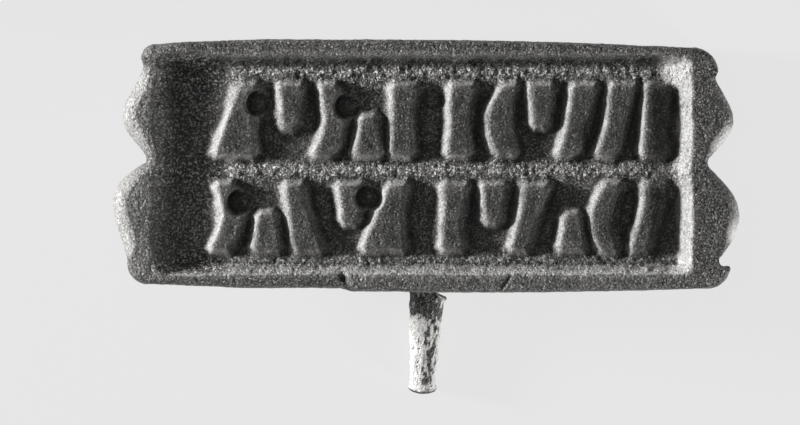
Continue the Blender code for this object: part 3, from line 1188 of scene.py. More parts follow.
        # Painted shade: slopes that face right keep little pale.
        lime_and_light *= 1.0 - self.right_facing_loss * self.right_facing(slopes.turned_right)
        return lime_and_light + self.band_lime.at(spots) * self._on_bands(lie) * (1.0 - left_end_shade)

    def pale_and_dark_marks(self, lie: Lie, slopes: Slopes) -> tuple[Array, Array]:
        """How pale each place is, from a whitish deposit, painted light on lit walls and rims, and rubbing
        and painted highlight on ridges, and how dark it is from dirt and painted shade.

        Args:
            lie: how the face lies.
            slopes: how steep it is.

        Returns:
            The pale mark with painted light, and the dark mark with dirt and painted shade.
        """
        spots = lie.spots
        # Painted light on the lit rims, and rubbing with painted highlight on ridges.
        rubbed_and_lit = sum(zone.at(spots) for zone in self.painted_light_zones)
        rubbed_and_lit += self.ridge_wear_and_highlight * np.clip(-slopes.hollow, 0.0, 1.0)
        pale = np.clip(self._lime_and_light_of(lie, slopes) + rubbed_and_lit, 0.0, 1.0)
        # Dark: hollows partly dirt, partly painted shade; stroke tops darker; the zones and the right gap are
        # painted shade.
        soil = np.clip(slopes.hollow, 0.0, 1.0) + self.stroke_soil * lie.on_stroke
        soil += sum(zone.at(spots) for zone in self.painted_shade_zones) + lie.on_floor * self.right_gap_shade.at(spots)
        # The left end's floor gets its painted shade lightened.
        lightened = self.left_floor_lightening * lie.on_floor * self.left_floor.at(spots)
        return pale, np.clip(soil, 0.0, 1.0) * (1.0 - pale) * (1.0 - lightened)


@dataclass(frozen=True)
class EdgeWearAndLight:
    """Where handling left the rounded edge smooth and pale on the lobes, with painted light on the edges that
    face the key lamp, and most at the lower right, a painted reflection of the pale table.
    """

    rounded: Rise = Rise(0.5, 1.3)
    lobes: float = 0.45
    # Painted shade: edges that face right, away from the key lamp, are less pale.
    right_loss: Zone = Zone(0.65, out_x=(0.2, 0.6))
    # Painted reflection of the pale table on the lower right edge and the right lobe.
    extra: tuple[Zone, ...] = (
        Zone(0.65, out_x=(0.3, 0.8), out_y=(0.0, -0.5)), Zone(0.3, x=(33.4, 34.2), y=(-2.5, -5.0)),
    )
    grit: float = 0.5
    smoothing: float = 0.25

    def marks(self, loop: Array) -> tuple[Array, Array]:
        """The grit and the pale mark round the edge.

        Args:
            loop: place, outward direction and rounding round the outline.

        Returns:
            Two arrays, one number for each place.
        """
        spots = dict(zip(("x", "y", "out_x", "out_y"), loop.T))
        rounded = self.rounded(loop[:, ROUNDING])
        worn_and_lit = self.lobes * (1.0 - self.right_loss.at(spots)) + sum(zone.at(spots) for zone in self.extra)
        return self.grit - self.smoothing * rounded, rounded * worn_and_lit


@dataclass(frozen=True)
class Plate:
    """The oblong plate: its face with the sunken field, its rounded edge, its side and its back."""

    thickness: float = 6.0
    back_round: float = 0.4
    face_round_depth: float = 1.3
    outline: Outline = field(default_factory=Outline)
    grid: FaceGrid = field(default_factory=FaceGrid)
    counts: Counts = field(default_factory=Counts)
    relief: FaceRelief = field(default_factory=FaceRelief)
    age: Age = field(default_factory=Age)
    skin: CastSkin = field(default_factory=CastSkin)
    face_marks: FaceMarks = field(default_factory=FaceMarks)
    edge_wear_and_light: EdgeWearAndLight = field(default_factory=EdgeWearAndLight)
    round_rings: int = 7
    side_rings: int = 4
    back_rings: int = 3
    back_margin: float = 0.15
    back_margin_share: float = 0.5
    end_fall: float = 0.24
    fall_reach: float = 3.2
    side_grit: float = 0.5
    back_grit: float = 0.6
    back_roughness: float = 1.5
    back_mark: float = 0.48
    back_cloud: Noise = Noise(0.5, 4.0, 21)
    back_cloud_middle: float = 0.5
    back_lime: float = 0.12
    back_soil: float = 0.5

    def _fall(self, x: Array, y: Array) -> Array:
        """How far the face falls off towards its left end: the squared share of the way to the edge.

        Args:
            x: places along the plate.
            y: places up the plate.

        Returns:
            How much lower each place lies.
        """
        from_end = self.outline.left_reach(y) + x
        share = 1.0 - np.clip(from_end / self.fall_reach, 0.0, 1.0)
        return self.end_fall * share**2

    def build(self, surface: Surface) -> Array:
        """Adds the whole plate to the surface, all but the faces of its back.

        Args:
            surface: the surface that grows.

        Returns:
            The indices of the back's grid, from bottom to top and from left to right.
        """
        traced = self.outline.traced()
        loop = traced.at(self.grid.loop_distances(traced, self.counts))
        face_edge = self._add_face(surface, loop)
        back_edge = self._add_side(surface, loop, face_edge)
        return self._add_back(surface, loop, back_edge)

    def _add_face(self, surface: Surface, loop: Array) -> Array:
        """Adds the face: its heights less its nicks, scratches and flaw and its fall, with the grain on top.

        Args:
            surface: the surface that grows.
            loop: place, outward direction and rounding round the outline.

        Returns:
            The indices round the face's edge.
        """
        inset = loop[:, PLACE] - loop[:, OUTWARD] * loop[:, ROUNDING, None]
        places = self.grid.fill(inset, self.counts)
        shape = places.shape[:2]
        x, y = places.reshape(-1, 2).T
        from_left = (places[..., 0] - places[:, :1, 0]).ravel()
        lie = self.relief.lie(x, y, from_left)
        grit = self.face_marks.grit_of(lie)
        points = self.age.apply(np.column_stack((x, y, lie.height - self._fall(x, y))))
        points[:, 2] += self.skin.moves(points, grit)
        slopes = Slopes.of(places, points[:, 2].reshape(shape))
        pale, soil = self.face_marks.pale_and_dark_marks(lie, slopes)
        indices = surface.add_points(points, marks_of(len(x), grit, pale, soil)).reshape(shape)
        surface.add_faces(grid_faces(indices))
        return grid_edge(indices)

    def _profile(self, rounding: Array) -> list[tuple[Array, float, float, float]]:
        """The section from the face to the back, ring by ring.

        The rounded edge is a quarter of an ellipse from the inset face to the full outline. The side is
        straight, and the back's edge is a quarter of a circle.

        Args:
            rounding: how far in the face's edge lies, round the outline.

        Returns:
            Each ring's inset, its height, and the normal's outward and upward parts.
        """
        rings = []
        quarter = math.pi / 2.0
        for k in range(1, self.round_rings + 1):
            angle = quarter * (1.0 - k / self.round_rings)
            height = -self.face_round_depth * (1.0 - math.sin(angle))
            rings.append((rounding * (1.0 - math.cos(angle)), height, math.cos(angle), math.sin(angle)))
        lower = self.back_round - self.thickness
        for k in range(1, self.side_rings + 1):
            height = -self.face_round_depth + (lower + self.face_round_depth) * k / self.side_rings
            rings.append((np.zeros_like(rounding), height, 1.0, 0.0))
        for k in range(1, self.back_rings + 1):
            angle = quarter * k / self.back_rings
            inset = np.minimum(self.back_round, rounding) * (1.0 - math.cos(angle))
            height = lower - self.back_round * math.sin(angle)
            rings.append((inset, height, math.cos(angle), -math.sin(angle)))
        return rings

    def _add_side(self, surface: Surface, loop: Array, face_edge: Array) -> Array:
        """Adds the rounded edge, the side and the back's rounding as one section carried round the outline.

        Args:
            surface: the surface that grows.
            loop: place, outward direction and rounding round the outline.
            face_edge: indices round the face.

        Returns:
            The indices of the last ring, on the back.
        """
        lower = self.back_round - self.thickness
        side_height = -self.face_round_depth - lower
        grit, worn_and_lit = self.edge_wear_and_light.marks(loop)
        previous = face_edge
        for step, (inset, height, outwards, upwards) in enumerate(self._profile(loop[:, ROUNDING])):
            flat = loop[:, PLACE] - loop[:, OUTWARD] * inset[:, None]
            fall = self._fall(*flat.T) * np.clip((height - lower) / side_height, 0.0, 1.0)
            points = self.age.apply(np.column_stack((flat, height - fall)))
            normals = np.column_stack((loop[:, OUTWARD] * outwards, np.full(len(flat), upwards)))
            points += normals * self.skin.moves(points, self.side_grit)[:, None]
            # The rounded edge's pale: rubbing with painted light and painted reflection.
            pale = worn_and_lit if step < self.round_rings else 0.0
            current = surface.add_points(points, marks_of(len(points), grit, pale, 0.0))
            surface.add_faces(ring_faces(previous, current))
            previous = current
        return previous

    def _add_back(self, surface: Surface, loop: Array, back_edge: Array) -> Array:
        """Adds the back's places, in cells twice as large, and the ring of faces that halves the count.

        Args:
            surface: the surface that grows.
            loop: place, outward direction and rounding round the outline.
            back_edge: indices round the back's edge.

        Returns:
            The indices of the grid, whose own faces the shank adds.
        """
        coarse = loop[::2]
        rounding = coarse[:, ROUNDING]
        margin = np.minimum(self.back_margin, self.back_margin_share * rounding)
        width = np.minimum(self.back_round, rounding) + margin
        places = self.grid.fill(coarse[:, PLACE] - coarse[:, OUTWARD] * width[:, None], self.counts.halved())
        flat = places.reshape(-1, 2)
        points = self.age.apply(np.column_stack((flat, np.full(len(flat), -self.thickness))))
        points[:, 2] -= self.back_roughness * self.skin.moves(points, self.back_grit)
        cloud = self.back_cloud_middle + self.back_cloud(points)
        marks = marks_of(len(points), self.back_mark, self.back_lime * cloud, self.back_soil * (1.0 - cloud))
        indices = surface.add_points(points, marks).reshape(places.shape[:2])
        inner = grid_edge(indices)
        outer = (np.roll(back_edge[::2], -1), back_edge[1::2], back_edge[::2])
        surface.add_faces(np.column_stack((np.roll(inner, -1), *outer, inner))[:, ::-1])
        return indices


@dataclass(frozen=True)
class Shank:
    """The shank that grows out of the back, bends down behind the plate and ends in a small round foot.

    The foot's profile lists how far past the end each ring lies and how much wider than the end it is.
    """

    root: tuple[float, float, float] = (0.8, -5.5, -5.0)
    bend: tuple[float, float, float] = (0.35, -10.3, -12.2)
    end: tuple[float, float, float] = (-0.36, -24.75, -17.6)
    root_radius: float = 2.7
    end_radius: float = 1.42
    flare: float = 0.6
    flare_power: int = 6
    foot_profile: tuple[tuple[float, float], ...] = (
        (0.02, 1.0), (0.1, 1.07), (0.22, 1.11), (0.42, 1.11),
        (0.55, 1.06), (0.6, 0.97), (0.61, 0.6), (0.62, 0.2),
    )
    clear_share: float = 0.22
    free_rise: Rise = Rise(0.22, 0.3)
    piercing_shares: tuple[float, float, int] = (0.0, 0.4, 401)
    hole_cells: tuple[int, int] = (24, 32)
    oval_growth: float = 1.28
    plane_rings: int = 3
    fillet_rings: int = 8
    shaft_rings: int = 62
    fillet_grit: float = 0.7
    shaft_grit: float = 1.0
    foot_grit: float = 0.8
    tip_grit: float = 0.6
    skin_grit: float = 0.78
    shaft_roughness: float = 1.6
    foot_roughness: float = 0.6
    least_rough_ring: float = 0.9
    shoulder: Rise = Rise(0.3, 1.6)
    nick: Bell = Bell(-14.3, 0.34, 4)
    nick_depth: float = 1.15
    lump: Bell = Bell(-14.85, 0.3)
    lump_height: float = 0.3
    streaks: tuple[Noise, ...] = (Noise(0.7, 0.42, 31), Noise(0.8, 0.2, 32), Noise(0.3, 1.4, 33))
    streak_squeeze: tuple[float, float, float] = (1.0, 0.55, 0.55)
    middle_x: Table = Table((12.0, 24.75), (0.7, -0.36))
    # Painted light: pale on the left side, which the key lamp lights, and a painted reflection at the right
    # edge.
    painted_light_bias: Table = Table((-1.5, -0.75, -0.35, 0.1, 0.9, 1.4), (1.6, 1.1, 0.45, 0.0, 0.15, 0.8))
    # Painted core shade down the shank's middle right.
    core_shade_streak: Bell = Bell(0.5, 0.55)
    core_shade_loss: float = 0.5
    core_shade_start: Rise = Rise(-18.0, -20.5)
    # Painted highlight on the foot's rim.
    foot_highlight: float = 1.5
    foot_start: Rise = Rise(-24.5, -24.75)
    # Painted shadow of the plate on the shank's upper part.
    shadow_bias: Table = Table((-1.5, -0.5, 0.2, 1.0), (2.1, 1.4, 0.9, 0.75))
    shadow_end: Rise = Rise(-17.2, -16.8)
    shadow_raggedness: float = 0.25
    pale_rise: Rise = Rise(-0.12, 0.2)
    off_plate: Rise = Rise(-6.5, -9.0)
    # Painted shade along the foot's lower edge.
    foot_edge_shade: Rise = Rise(0.4, 0.3)

    @property
    def posts(self) -> tuple[Array, Array, Array]:
        """The root, the bend and the end as arrays."""
        return np.array(self.root), np.array(self.bend), np.array(self.end)

    def point(self, t: float | Array) -> Array:
        """Middle line: a curve from root to end that leaves towards the bend and arrives from it.

        Args:
            t: one share of the course, or several.

        Returns:
            The point at each share.
        """
        root, bend, end = self.posts
        t = np.asarray(t, float)[..., None]
        return (1 - t) ** 2 * root + 2 * t * (1 - t) * bend + t**2 * end

    def direction(self, t: float) -> Array:
        """The middle line's direction: a blend of the way to the bend and the way from it, of length 1.

        Args:
            t: share of the course.

        Returns:
            The direction.
        """
        root, bend, end = self.posts
        run = (1 - t) * (bend - root) + t * (end - bend)
        return run / np.linalg.norm(run)

    def radius(self, t: float) -> float:
        """Half the thickness: a straight taper and a flare that dies away from the root."""
        taper = self.root_radius + (self.end_radius - self.root_radius) * t
        return taper + self.flare * (1.0 - t) ** self.flare_power

    def ring(self, t: float, angles: Array, radius: float) -> Array:
        """A round ring across the middle line.

        Args:
            t: share of the course.
            angles: where the ring's points stand, from the plate's x direction.
            radius: the ring's radius.

        Returns:
            The ring's points.
        """
        run = self.direction(t)
        side = np.array((1.0, 0.0, 0.0))
        side = side - run * (side @ run)
        side /= np.linalg.norm(side)
        up = np.cross(side, run)
        up *= np.sign(up[1])
        return self.point(t) + radius * (np.cos(angles)[:, None] * side + np.sin(angles)[:, None] * up)

    def build(self, surface: Surface, back: Array, plate: Plate) -> None:
        """Opens the back's grid, carries rings from the opening down the shank and closes them at the foot.

        Args:
            surface: the surface that grows.
            back: the indices of the back's grid.
            plate: the plate that the shank grows out of.
        """
        everything = np.concatenate(surface.points)
        places = everything[back]
        centre = self._piercing(-plate.thickness)
        wide, high = self.hole_cells
        middle_row = back.shape[0] // 2
        column = int(np.argmin(np.abs(places[middle_row, :, 0] - centre[0]))) - wide // 2
        row = int(np.argmin(np.abs(places[:, column, 1] - centre[1]))) - high // 2
        cells = grid_faces(back).reshape(back.shape[0] - 1, back.shape[1] - 1, 4)
        kept = np.ones(cells.shape[:2], bool)
        kept[row : row + high, column : column + wide] = False
        surface.add_faces(cells[kept][:, ::-1])
        opening = grid_edge(back[row : row + high + 1, column : column + wide + 1])
        mouth = everything[opening]
        angles = np.arctan2(mouth[:, 1] - centre[1], mouth[:, 0] - centre[0])
        previous = opening
        for points, grit in self._rings(mouth, angles, centre, plate.skin):
            pale, soil = self._patches(points)
            current = surface.add_points(points, marks_of(len(points), grit, pale, soil))
            surface.add_faces(ring_faces(previous, current))
            previous = current
        tip = np.mean(surface.points[-1], axis=0)
        pole = surface.add_points(tip[None], marks_of(1, self.tip_grit, 1.0, 0.0))
        surface.add_faces(np.column_stack((previous, np.roll(previous, -1), np.repeat(pole, len(previous)))))

    def _patches(self, points: Array) -> tuple[Array, Array]:
        """Where the shank is pale and where it is dark, in ragged upright patches, with painted light and
        shade.

        Noise in cells drawn out along the shank is shifted by a bias and cut off. The bias is high on the
        left side, painted light where the key lamp lights it, and rises at the right edge, a painted
        reflection.
        It is low on the middle and right, with a painted core shade, and lowest near the plate, a painted
        shadow of the plate. The foot's rim gets a painted highlight, and its lower edge stays dark, painted
        shade.

        Args:
            points: places on the shank.

        Returns:
            The pale mark with painted light, and the dark mark with dark patches and painted shade.
        """
        x, y, z = points.T
        ragged = sum(streak(points * np.array(self.streak_squeeze)) for streak in self.streaks)
        across = x - self.middle_x(-y)
        # Painted light on the lit side and the foot's rim, painted core shade and the plate's painted shadow.
        bias = self.painted_light_bias(across) + self.foot_highlight * self.foot_start(y)
        bias -= self.core_shade_loss * self.core_shade_streak(across) * self.core_shade_start(y)
        bias -= self.shadow_bias(across) * self.shadow_end(y - self.shadow_raggedness * ragged)
        upper_foot = self.foot_edge_shade((points - np.array(self.end)) @ self.direction(1.0))
        pale = self.pale_rise(ragged + bias) * self.off_plate(z) * upper_foot
        return pale, (1.0 - pale) * self.off_plate(z)

    def _piercing(self, height: float) -> Array:
        """Where the middle line goes through the back, which lies at a height."""
        line = self.point(np.linspace(*self.piercing_shares))
        return line[int(np.argmin(np.abs(line[:, 2] - height)))]

    def _rings(
        self, mouth: Array, angles: Array, centre: Array, skin: CastSkin,
    ) -> Iterator[tuple[Array, float]]:
        """Yields every ring of points in order, with its grit.

        The first rings lie on the back and go from the square opening to an oval. The fillet follows, for
        each angle a curve that leaves along the back and arrives along the shank. Then come the shaft's round
        rings, and the foot's, which step out and close.

        Args:
            mouth: the opening's points.
            angles: the angle of each of them about the piercing.
            centre: where the middle line goes through the back.
            skin: the unevenness of the casting.

        Yields:
            The ring's points and their grit.
        """
        first = self.ring(self.clear_share, angles, self.radius(self.clear_share))
        run = self.direction(self.clear_share)
        corner = first - run * ((first[:, 2:] - mouth[:, 2:]) / run[2])
        oval = centre + (corner - centre) * self.oval_growth
        oval[:, 2] = mouth[:, 2]
        for share in np.arange(1, self.plane_rings + 1) / self.plane_rings:
            yield mouth * (1 - share) + oval * share, self.fillet_grit
        for s in np.arange(1, self.fillet_rings + 1) / self.fillet_rings:
            yield (1 - s) ** 2 * oval + 2 * s * (1 - s) * corner + s**2 * first, self.fillet_grit
        for share in np.arange(1, self.shaft_rings + 1) / self.shaft_rings:
            t = self.clear_share + (1.0 - self.clear_share) * share
            points = self.ring(t, angles, self.radius(t))
            moves = self.shaft_roughness * self.free_rise(t) * skin.moves(points, self.skin_grit)
            yield self._swollen(points, self.point(t), moves + self._broken_shoulder(points)), self.shaft_grit
        run = self.direction(1.0)
        for forward, wider in self.foot_profile:
            middle = np.array(self.end) + run * forward
            points = self.ring(1.0, angles, self.end_radius * wider) + run * forward
            moves = self.foot_roughness * (wider > self.least_rough_ring) * skin.moves(points, self.skin_grit)
            yield self._swollen(points, middle, moves), self.foot_grit

    @staticmethod
    def _swollen(points: Array, middle: Array, moves: Array) -> Array:
        """A ring's points moved away from its middle.

        Args:
            points: the ring.
            middle: its middle.
            moves: how far each point goes.

        Returns:
            The moved ring.
        """
        outward = points - middle
        outward /= np.linalg.norm(outward, axis=1)[:, None]
        return points + outward * moves[:, None]

    def _broken_shoulder(self, points: Array) -> Array:
        """The ragged corner at the shank's right, just under the plate: a nick and a lump below it."""
        x, y = points[:, 0], points[:, 1]
        return (self.lump_height * self.lump(y) - self.nick_depth * self.nick(y)) * self.shoulder(x)


@dataclass(frozen=True)
class Grain:
    """A noise of the shader: its cells to a metre, detail and roughness."""

    scale: float
    detail: float
    roughness: float


@dataclass(frozen=True)
class Specks(Grain):
    """A noise cut off softly between a start, where it is 0, and an end, where it is 1."""

    start: float
    end: float


class Groups:
    """The shader groups that the finishes share."""

    GRAIN_SPECKS = {
        "Speckle": Specks(3300.0, 2.5, 0.6, 0.52, 0.6),
        "Grains": Specks(4600.0, 1.0, 0.6, 0.4, 0.56),
        "Dust": Specks(4700.0, 1.5, 0.5, 0.56, 0.66),
    }
    CLOUD_SPECKS = {
        "Cloud": Specks(160.0, 3.0, 0.55, 0.35, 0.65),
        "Blotches": Specks(900.0, 4.0, 0.65, 0.4, 0.62),
    }
    FINE = Grain(5200.0, 2.5, 0.62)
    COARSE = Grain(1900.0, 2.0, 0.6)
    FINE_SHARE = 0.55
    COARSE_SHARE = 0.6
    PORE_SHARE = 0.35
    PORE_SCALE = 1500.0
    PORE_EDGE = (0.34, 0.08)
    LEAST_HEIGHT = 0.15
    GRIT_HEIGHT = 0.85

    @staticmethod
    def _new(name: str, inputs: dict[str, float], outputs: tuple[str, ...]) -> tuple:
        """Starts a group.

        Args:
            name: the group's name.
            inputs: its numbers, with their usual values.
            outputs: the names of what it puts out.

        Returns:
            The tree, its input node and its output node.
        """
        tree = bpy.data.node_groups.new(name, "ShaderNodeTree")
        for label, usual in inputs.items():
            socket = tree.interface.new_socket(name=label, in_out="INPUT", socket_type="NodeSocketFloat")
            socket.default_value = usual
        for label in outputs:
            tree.interface.new_socket(name=label, in_out="OUTPUT", socket_type="NodeSocketFloat")
        return tree, tree.nodes.new("NodeGroupInput"), tree.nodes.new("NodeGroupOutput")

    @classmethod
    def cast_grain(cls) -> bpy.types.NodeTree:
        """Sandy cast skin: a fine and a coarse noise, and round pores, by how gritty the place is.

        Returns:
            A group with the input Grit and the outputs Height, Speckle, Grains and Dust.
        """
        tree, given, out = cls._new("cast_grain", {"Grit": 0.5}, ("Height", *cls.GRAIN_SPECKS))
        wire = Wiring(tree)
        fine = wire.math("MULTIPLY", wire.noise(cls.FINE), cls.FINE_SHARE)
        coarse = wire.math("MULTIPLY", wire.noise(cls.COARSE), cls.COARSE_SHARE)
        pores = wire.math("MULTIPLY", wire.pores(cls.PORE_SCALE, *cls.PORE_EDGE), cls.PORE_SHARE)
        rough = wire.math("SUBTRACT", wire.math("ADD", fine, coarse), pores)
        amount = wire.math("MULTIPLY_ADD", given.outputs["Grit"], cls.GRIT_HEIGHT, cls.LEAST_HEIGHT)
        wire.link(wire.math("MULTIPLY", rough, amount), out.inputs["Height"])
        for label, specks in cls.GRAIN_SPECKS.items():
            wire.link(wire.specks(specks), out.inputs[label])
        return tree

    @classmethod
    def patina_clouds(cls) -> bpy.types.NodeTree:
        """Uneven dark skin: broad clouds and small blotches.

        Returns:
            A group with the outputs Cloud and Blotches.
        """
        tree, _, out = cls._new("patina_clouds", {}, tuple(cls.CLOUD_SPECKS))
        wire = Wiring(tree)
        for label, specks in cls.CLOUD_SPECKS.items():
            wire.link(wire.specks(specks), out.inputs[label])
        return tree


@dataclass(frozen=True)
class Wiring:
    """Short ways to place nodes in a tree and to join them."""

    tree: bpy.types.NodeTree

    def link(self, source: Socket, target: Socket) -> None:
        """Joins two sockets."""
        self.tree.links.new(source, target)

    def _feed(self, socket: Socket, value: Value) -> None:
        """Sets a socket to a number or colour, or joins it to another socket.

        Args:
            socket: the input that is fed.
            value: the number, the colour or the other socket.
        """
        if isinstance(value, Socket):
            self.link(value, socket)
        else:
            socket.default_value = value

    def math(self, operation: str, *values: Value) -> Socket:
        """One sum of numbers or sockets.

        Args:
            operation: the kind of sum.
            *values: what it is done with.

        Returns:
            The result's socket.
        """
        node = self.tree.nodes.new("ShaderNodeMath")
        node.operation = operation
        for socket, value in zip(node.inputs, values):
            self._feed(socket, value)
        return node.outputs[0]

    def _texture(self, kind: str, **values: float) -> bpy.types.Node:
        """A texture over the object's own coordinates.

        Args:
            kind: the kind of node.
            **values: its settings by their labels.

        Returns:
            The texture's node.
        """
        node = self.tree.nodes.new(kind)
        self.link(self.tree.nodes.new("ShaderNodeTexCoord").outputs["Object"], node.inputs["Vector"])
        for label, value in values.items():
            node.inputs[label].default_value = value
        return node

    def noise(self, grain: Grain) -> Socket:
        """A noise."""
        values = {"Scale": grain.scale, "Detail": grain.detail, "Roughness": grain.roughness}
        return self._texture("ShaderNodeTexNoise", **values).outputs["Fac"]

    def pores(self, scale: float, start: float, end: float) -> Socket:
        """Small round spots, 1 in their middles and 0 between them."""
        return self.ramp(self._texture("ShaderNodeTexVoronoi", Scale=scale).outputs["Distance"], start, end)

    def specks(self, specks: Specks) -> Socket:
        """A noise that is cut off softly."""
        return self.ramp(self.noise(specks), specks.start, specks.end)

    def ramp(self, value: Socket, start: float, end: float) -> Socket:
        """A smooth rise from 0 at the start to 1 at the end.

        Args:
            value: what is turned into a share.
            start: the value where it is 0.
            end: the value where it is 1.

        Returns:
            The share's socket.
        """
        node = self.tree.nodes.new("ShaderNodeMapRange")
        node.interpolation_type = "SMOOTHSTEP"
        self.link(value, node.inputs["Value"])
        node.inputs["From Min"].default_value = start
        node.inputs["From Max"].default_value = end
        return node.outputs["Result"]

    def mix(self, share: Value, first: Value, second: Value) -> Socket:
        """A blend of two colours by a share.

        Args:
            share: how much of the second there is.
            first: the colour at share 0.
            second: the colour at share 1.

        Returns:
            The blend's socket.
        """
        node = self.tree.nodes.new("ShaderNodeMix")
        node.data_type = "RGBA"
        for label, value in (("Factor", share), ("A", first), ("B", second)):
            self._feed(node.inputs[label], value)
        return node.outputs["Result"]

    def mark(self, mark: Mark) -> Socket:
        """One of the marks that the mesh carries.

        Args:
            mark: which one.

        Returns:
            The mark's socket.
        """
        node = self.tree.nodes.new("ShaderNodeAttribute")
        node.attribute_name = mark.value
        return node.outputs["Fac"]

    def group(self, tree: bpy.types.NodeTree, **values: Value) -> bpy.types.Node:
        """Places a shared group with its own values.

        Args:
            tree: the group.
            **values: its inputs by their labels.

        Returns:
            The group's node.
        """
        node = self.tree.nodes.new("ShaderNodeGroup")
        node.node_tree = tree
        for label, value in values.items():
            self._feed(node.inputs[label], value)
        return node


def colour(red: float, green: float, blue: float) -> tuple[float, float, float, float]:
    """A solid colour."""
    return red, green, blue, 1.0


@dataclass(frozen=True)
class PatinatedBronze:
    """Dark patinated cast bronze: nearly neutral, pale in places from a whitish deposit, rubbing and painted
    light, and dark in its hollows and elsewhere from dirt and painted shade.

    A cover is how much of the skin a colour takes where its mark is 1.
    """

    patina: tuple[float, ...] = colour(0.138, 0.135, 0.13)
    darker: tuple[float, ...] = colour(0.07, 0.068, 0.065)
    # Colour of the pale mark: whitish deposit, rubbing and painted light.
    pale: tuple[float, ...] = colour(0.78, 0.77, 0.75)
    # Colour of the dark mark: dirt and painted shade.
    soil: tuple[float, ...] = colour(0.04, 0.039, 0.037)
    cloud_cover: float = 0.8
    blotch_cover: float = 0.5
    dusty_from: float = 0.4
    dusty_to: float = 1.0
    least_dusty: float = 0.2
    dust_cover: float = 0.42
    pale_cover: float = 0.9
    soil_and_shade_cover: float = 0.8
    gap_cover: float = 0.7
    pale_gap_loss: float = 0.5
    metallic: float = 0.62
    powder_loss: float = 0.6
    roughness: float = 0.62
    blotch_roughness: float = 0.1
    bump_distance: float = 0.0005
    bump_strength: float = 0.85

    def _colour(self, wire: Wiring, grain: bpy.types.Node, clouds: bpy.types.Node, powder: Value) -> Value:
        """The skin's colour: patina, pale powder, the pale mark with painted light, the dark mark with dirt
        and painted shade, and dirt between the grains.

        Args:
            wire: the wiring of the finish.
            grain: the placed grain group.
            clouds: the placed cloud group.
            powder: how much pale powder there is.

        Returns:
            The colour.
        """
        pale = wire.mark(Mark.PALE)
        hidden = wire.math("MULTIPLY_ADD", pale, -self.pale_gap_loss, self.gap_cover)
        gaps = wire.math("MULTIPLY", wire.math("SUBTRACT", 1.0, grain.outputs["Grains"]), hidden)
        layers = (
            (wire.math("MULTIPLY", clouds.outputs["Cloud"], self.cloud_cover), self.darker),
            (wire.math("MULTIPLY", clouds.outputs["Blotches"], self.blotch_cover), self.darker),
            (powder, self.pale),
            (wire.math("MULTIPLY", pale, self.pale_cover), self.pale),
            # Dark mark: dirt and painted shade.
            (wire.math("MULTIPLY", wire.mark(Mark.SOIL), self.soil_and_shade_cover), self.soil),
            (gaps, self.soil),
        )
        skin = self.patina
        for share, over in layers:
            skin = wire.mix(share, skin, over)
        return skin

    def make(self) -> bpy.types.Material:
        """Builds the finish.

        Returns:
            The material.
        """
        material = bpy.data.materials.new("patinated_bronze")
        material.use_nodes = True
        tree = material.node_tree
        tree.nodes.clear()
        wire = Wiring(tree)
        shader = tree.nodes.new("ShaderNodeBsdfPrincipled")
        output = tree.nodes.new("ShaderNodeOutputMaterial")
        wire.link(shader.outputs[0], output.inputs["Surface"])
        grain = wire.group(Groups.cast_grain(), Grit=wire.mark(Mark.GRIT))
        clouds = wire.group(Groups.patina_clouds())
        dusty = wire.ramp(wire.mark(Mark.GRIT), self.dusty_from, self.dusty_to)
        dusty = wire.math("MULTIPLY_ADD", dusty, 1.0 - self.least_dusty, self.least_dusty)
        speckle = wire.math("MULTIPLY", grain.outputs["Speckle"], dusty)
        dust = wire.math("MULTIPLY", grain.outputs["Dust"], self.dust_cover)
        powder = wire.math("MAXIMUM", speckle, dust)
        bare = wire.math("MAXIMUM", wire.mark(Mark.PALE), powder)
        bump = tree.nodes.new("ShaderNodeBump")
        bump.inputs["Distance"].default_value = self.bump_distance
        bump.inputs["Strength"].default_value = self.bump_strength
        wire.link(grain.outputs["Height"], bump.inputs["Height"])
        gloss = wire.math("MULTIPLY_ADD", clouds.outputs["Blotches"], self.blotch_roughness, self.roughness)
        metal = wire.math("MULTIPLY_ADD", bare, -self.powder_loss, self.metallic)
        wire.link(self._colour(wire, grain, clouds, powder), shader.inputs["Base Color"])
        wire.link(metal, shader.inputs["Metallic"])
        wire.link(gloss, shader.inputs["Roughness"])
        wire.link(bump.outputs["Normal"], shader.inputs["Normal"])
        return material


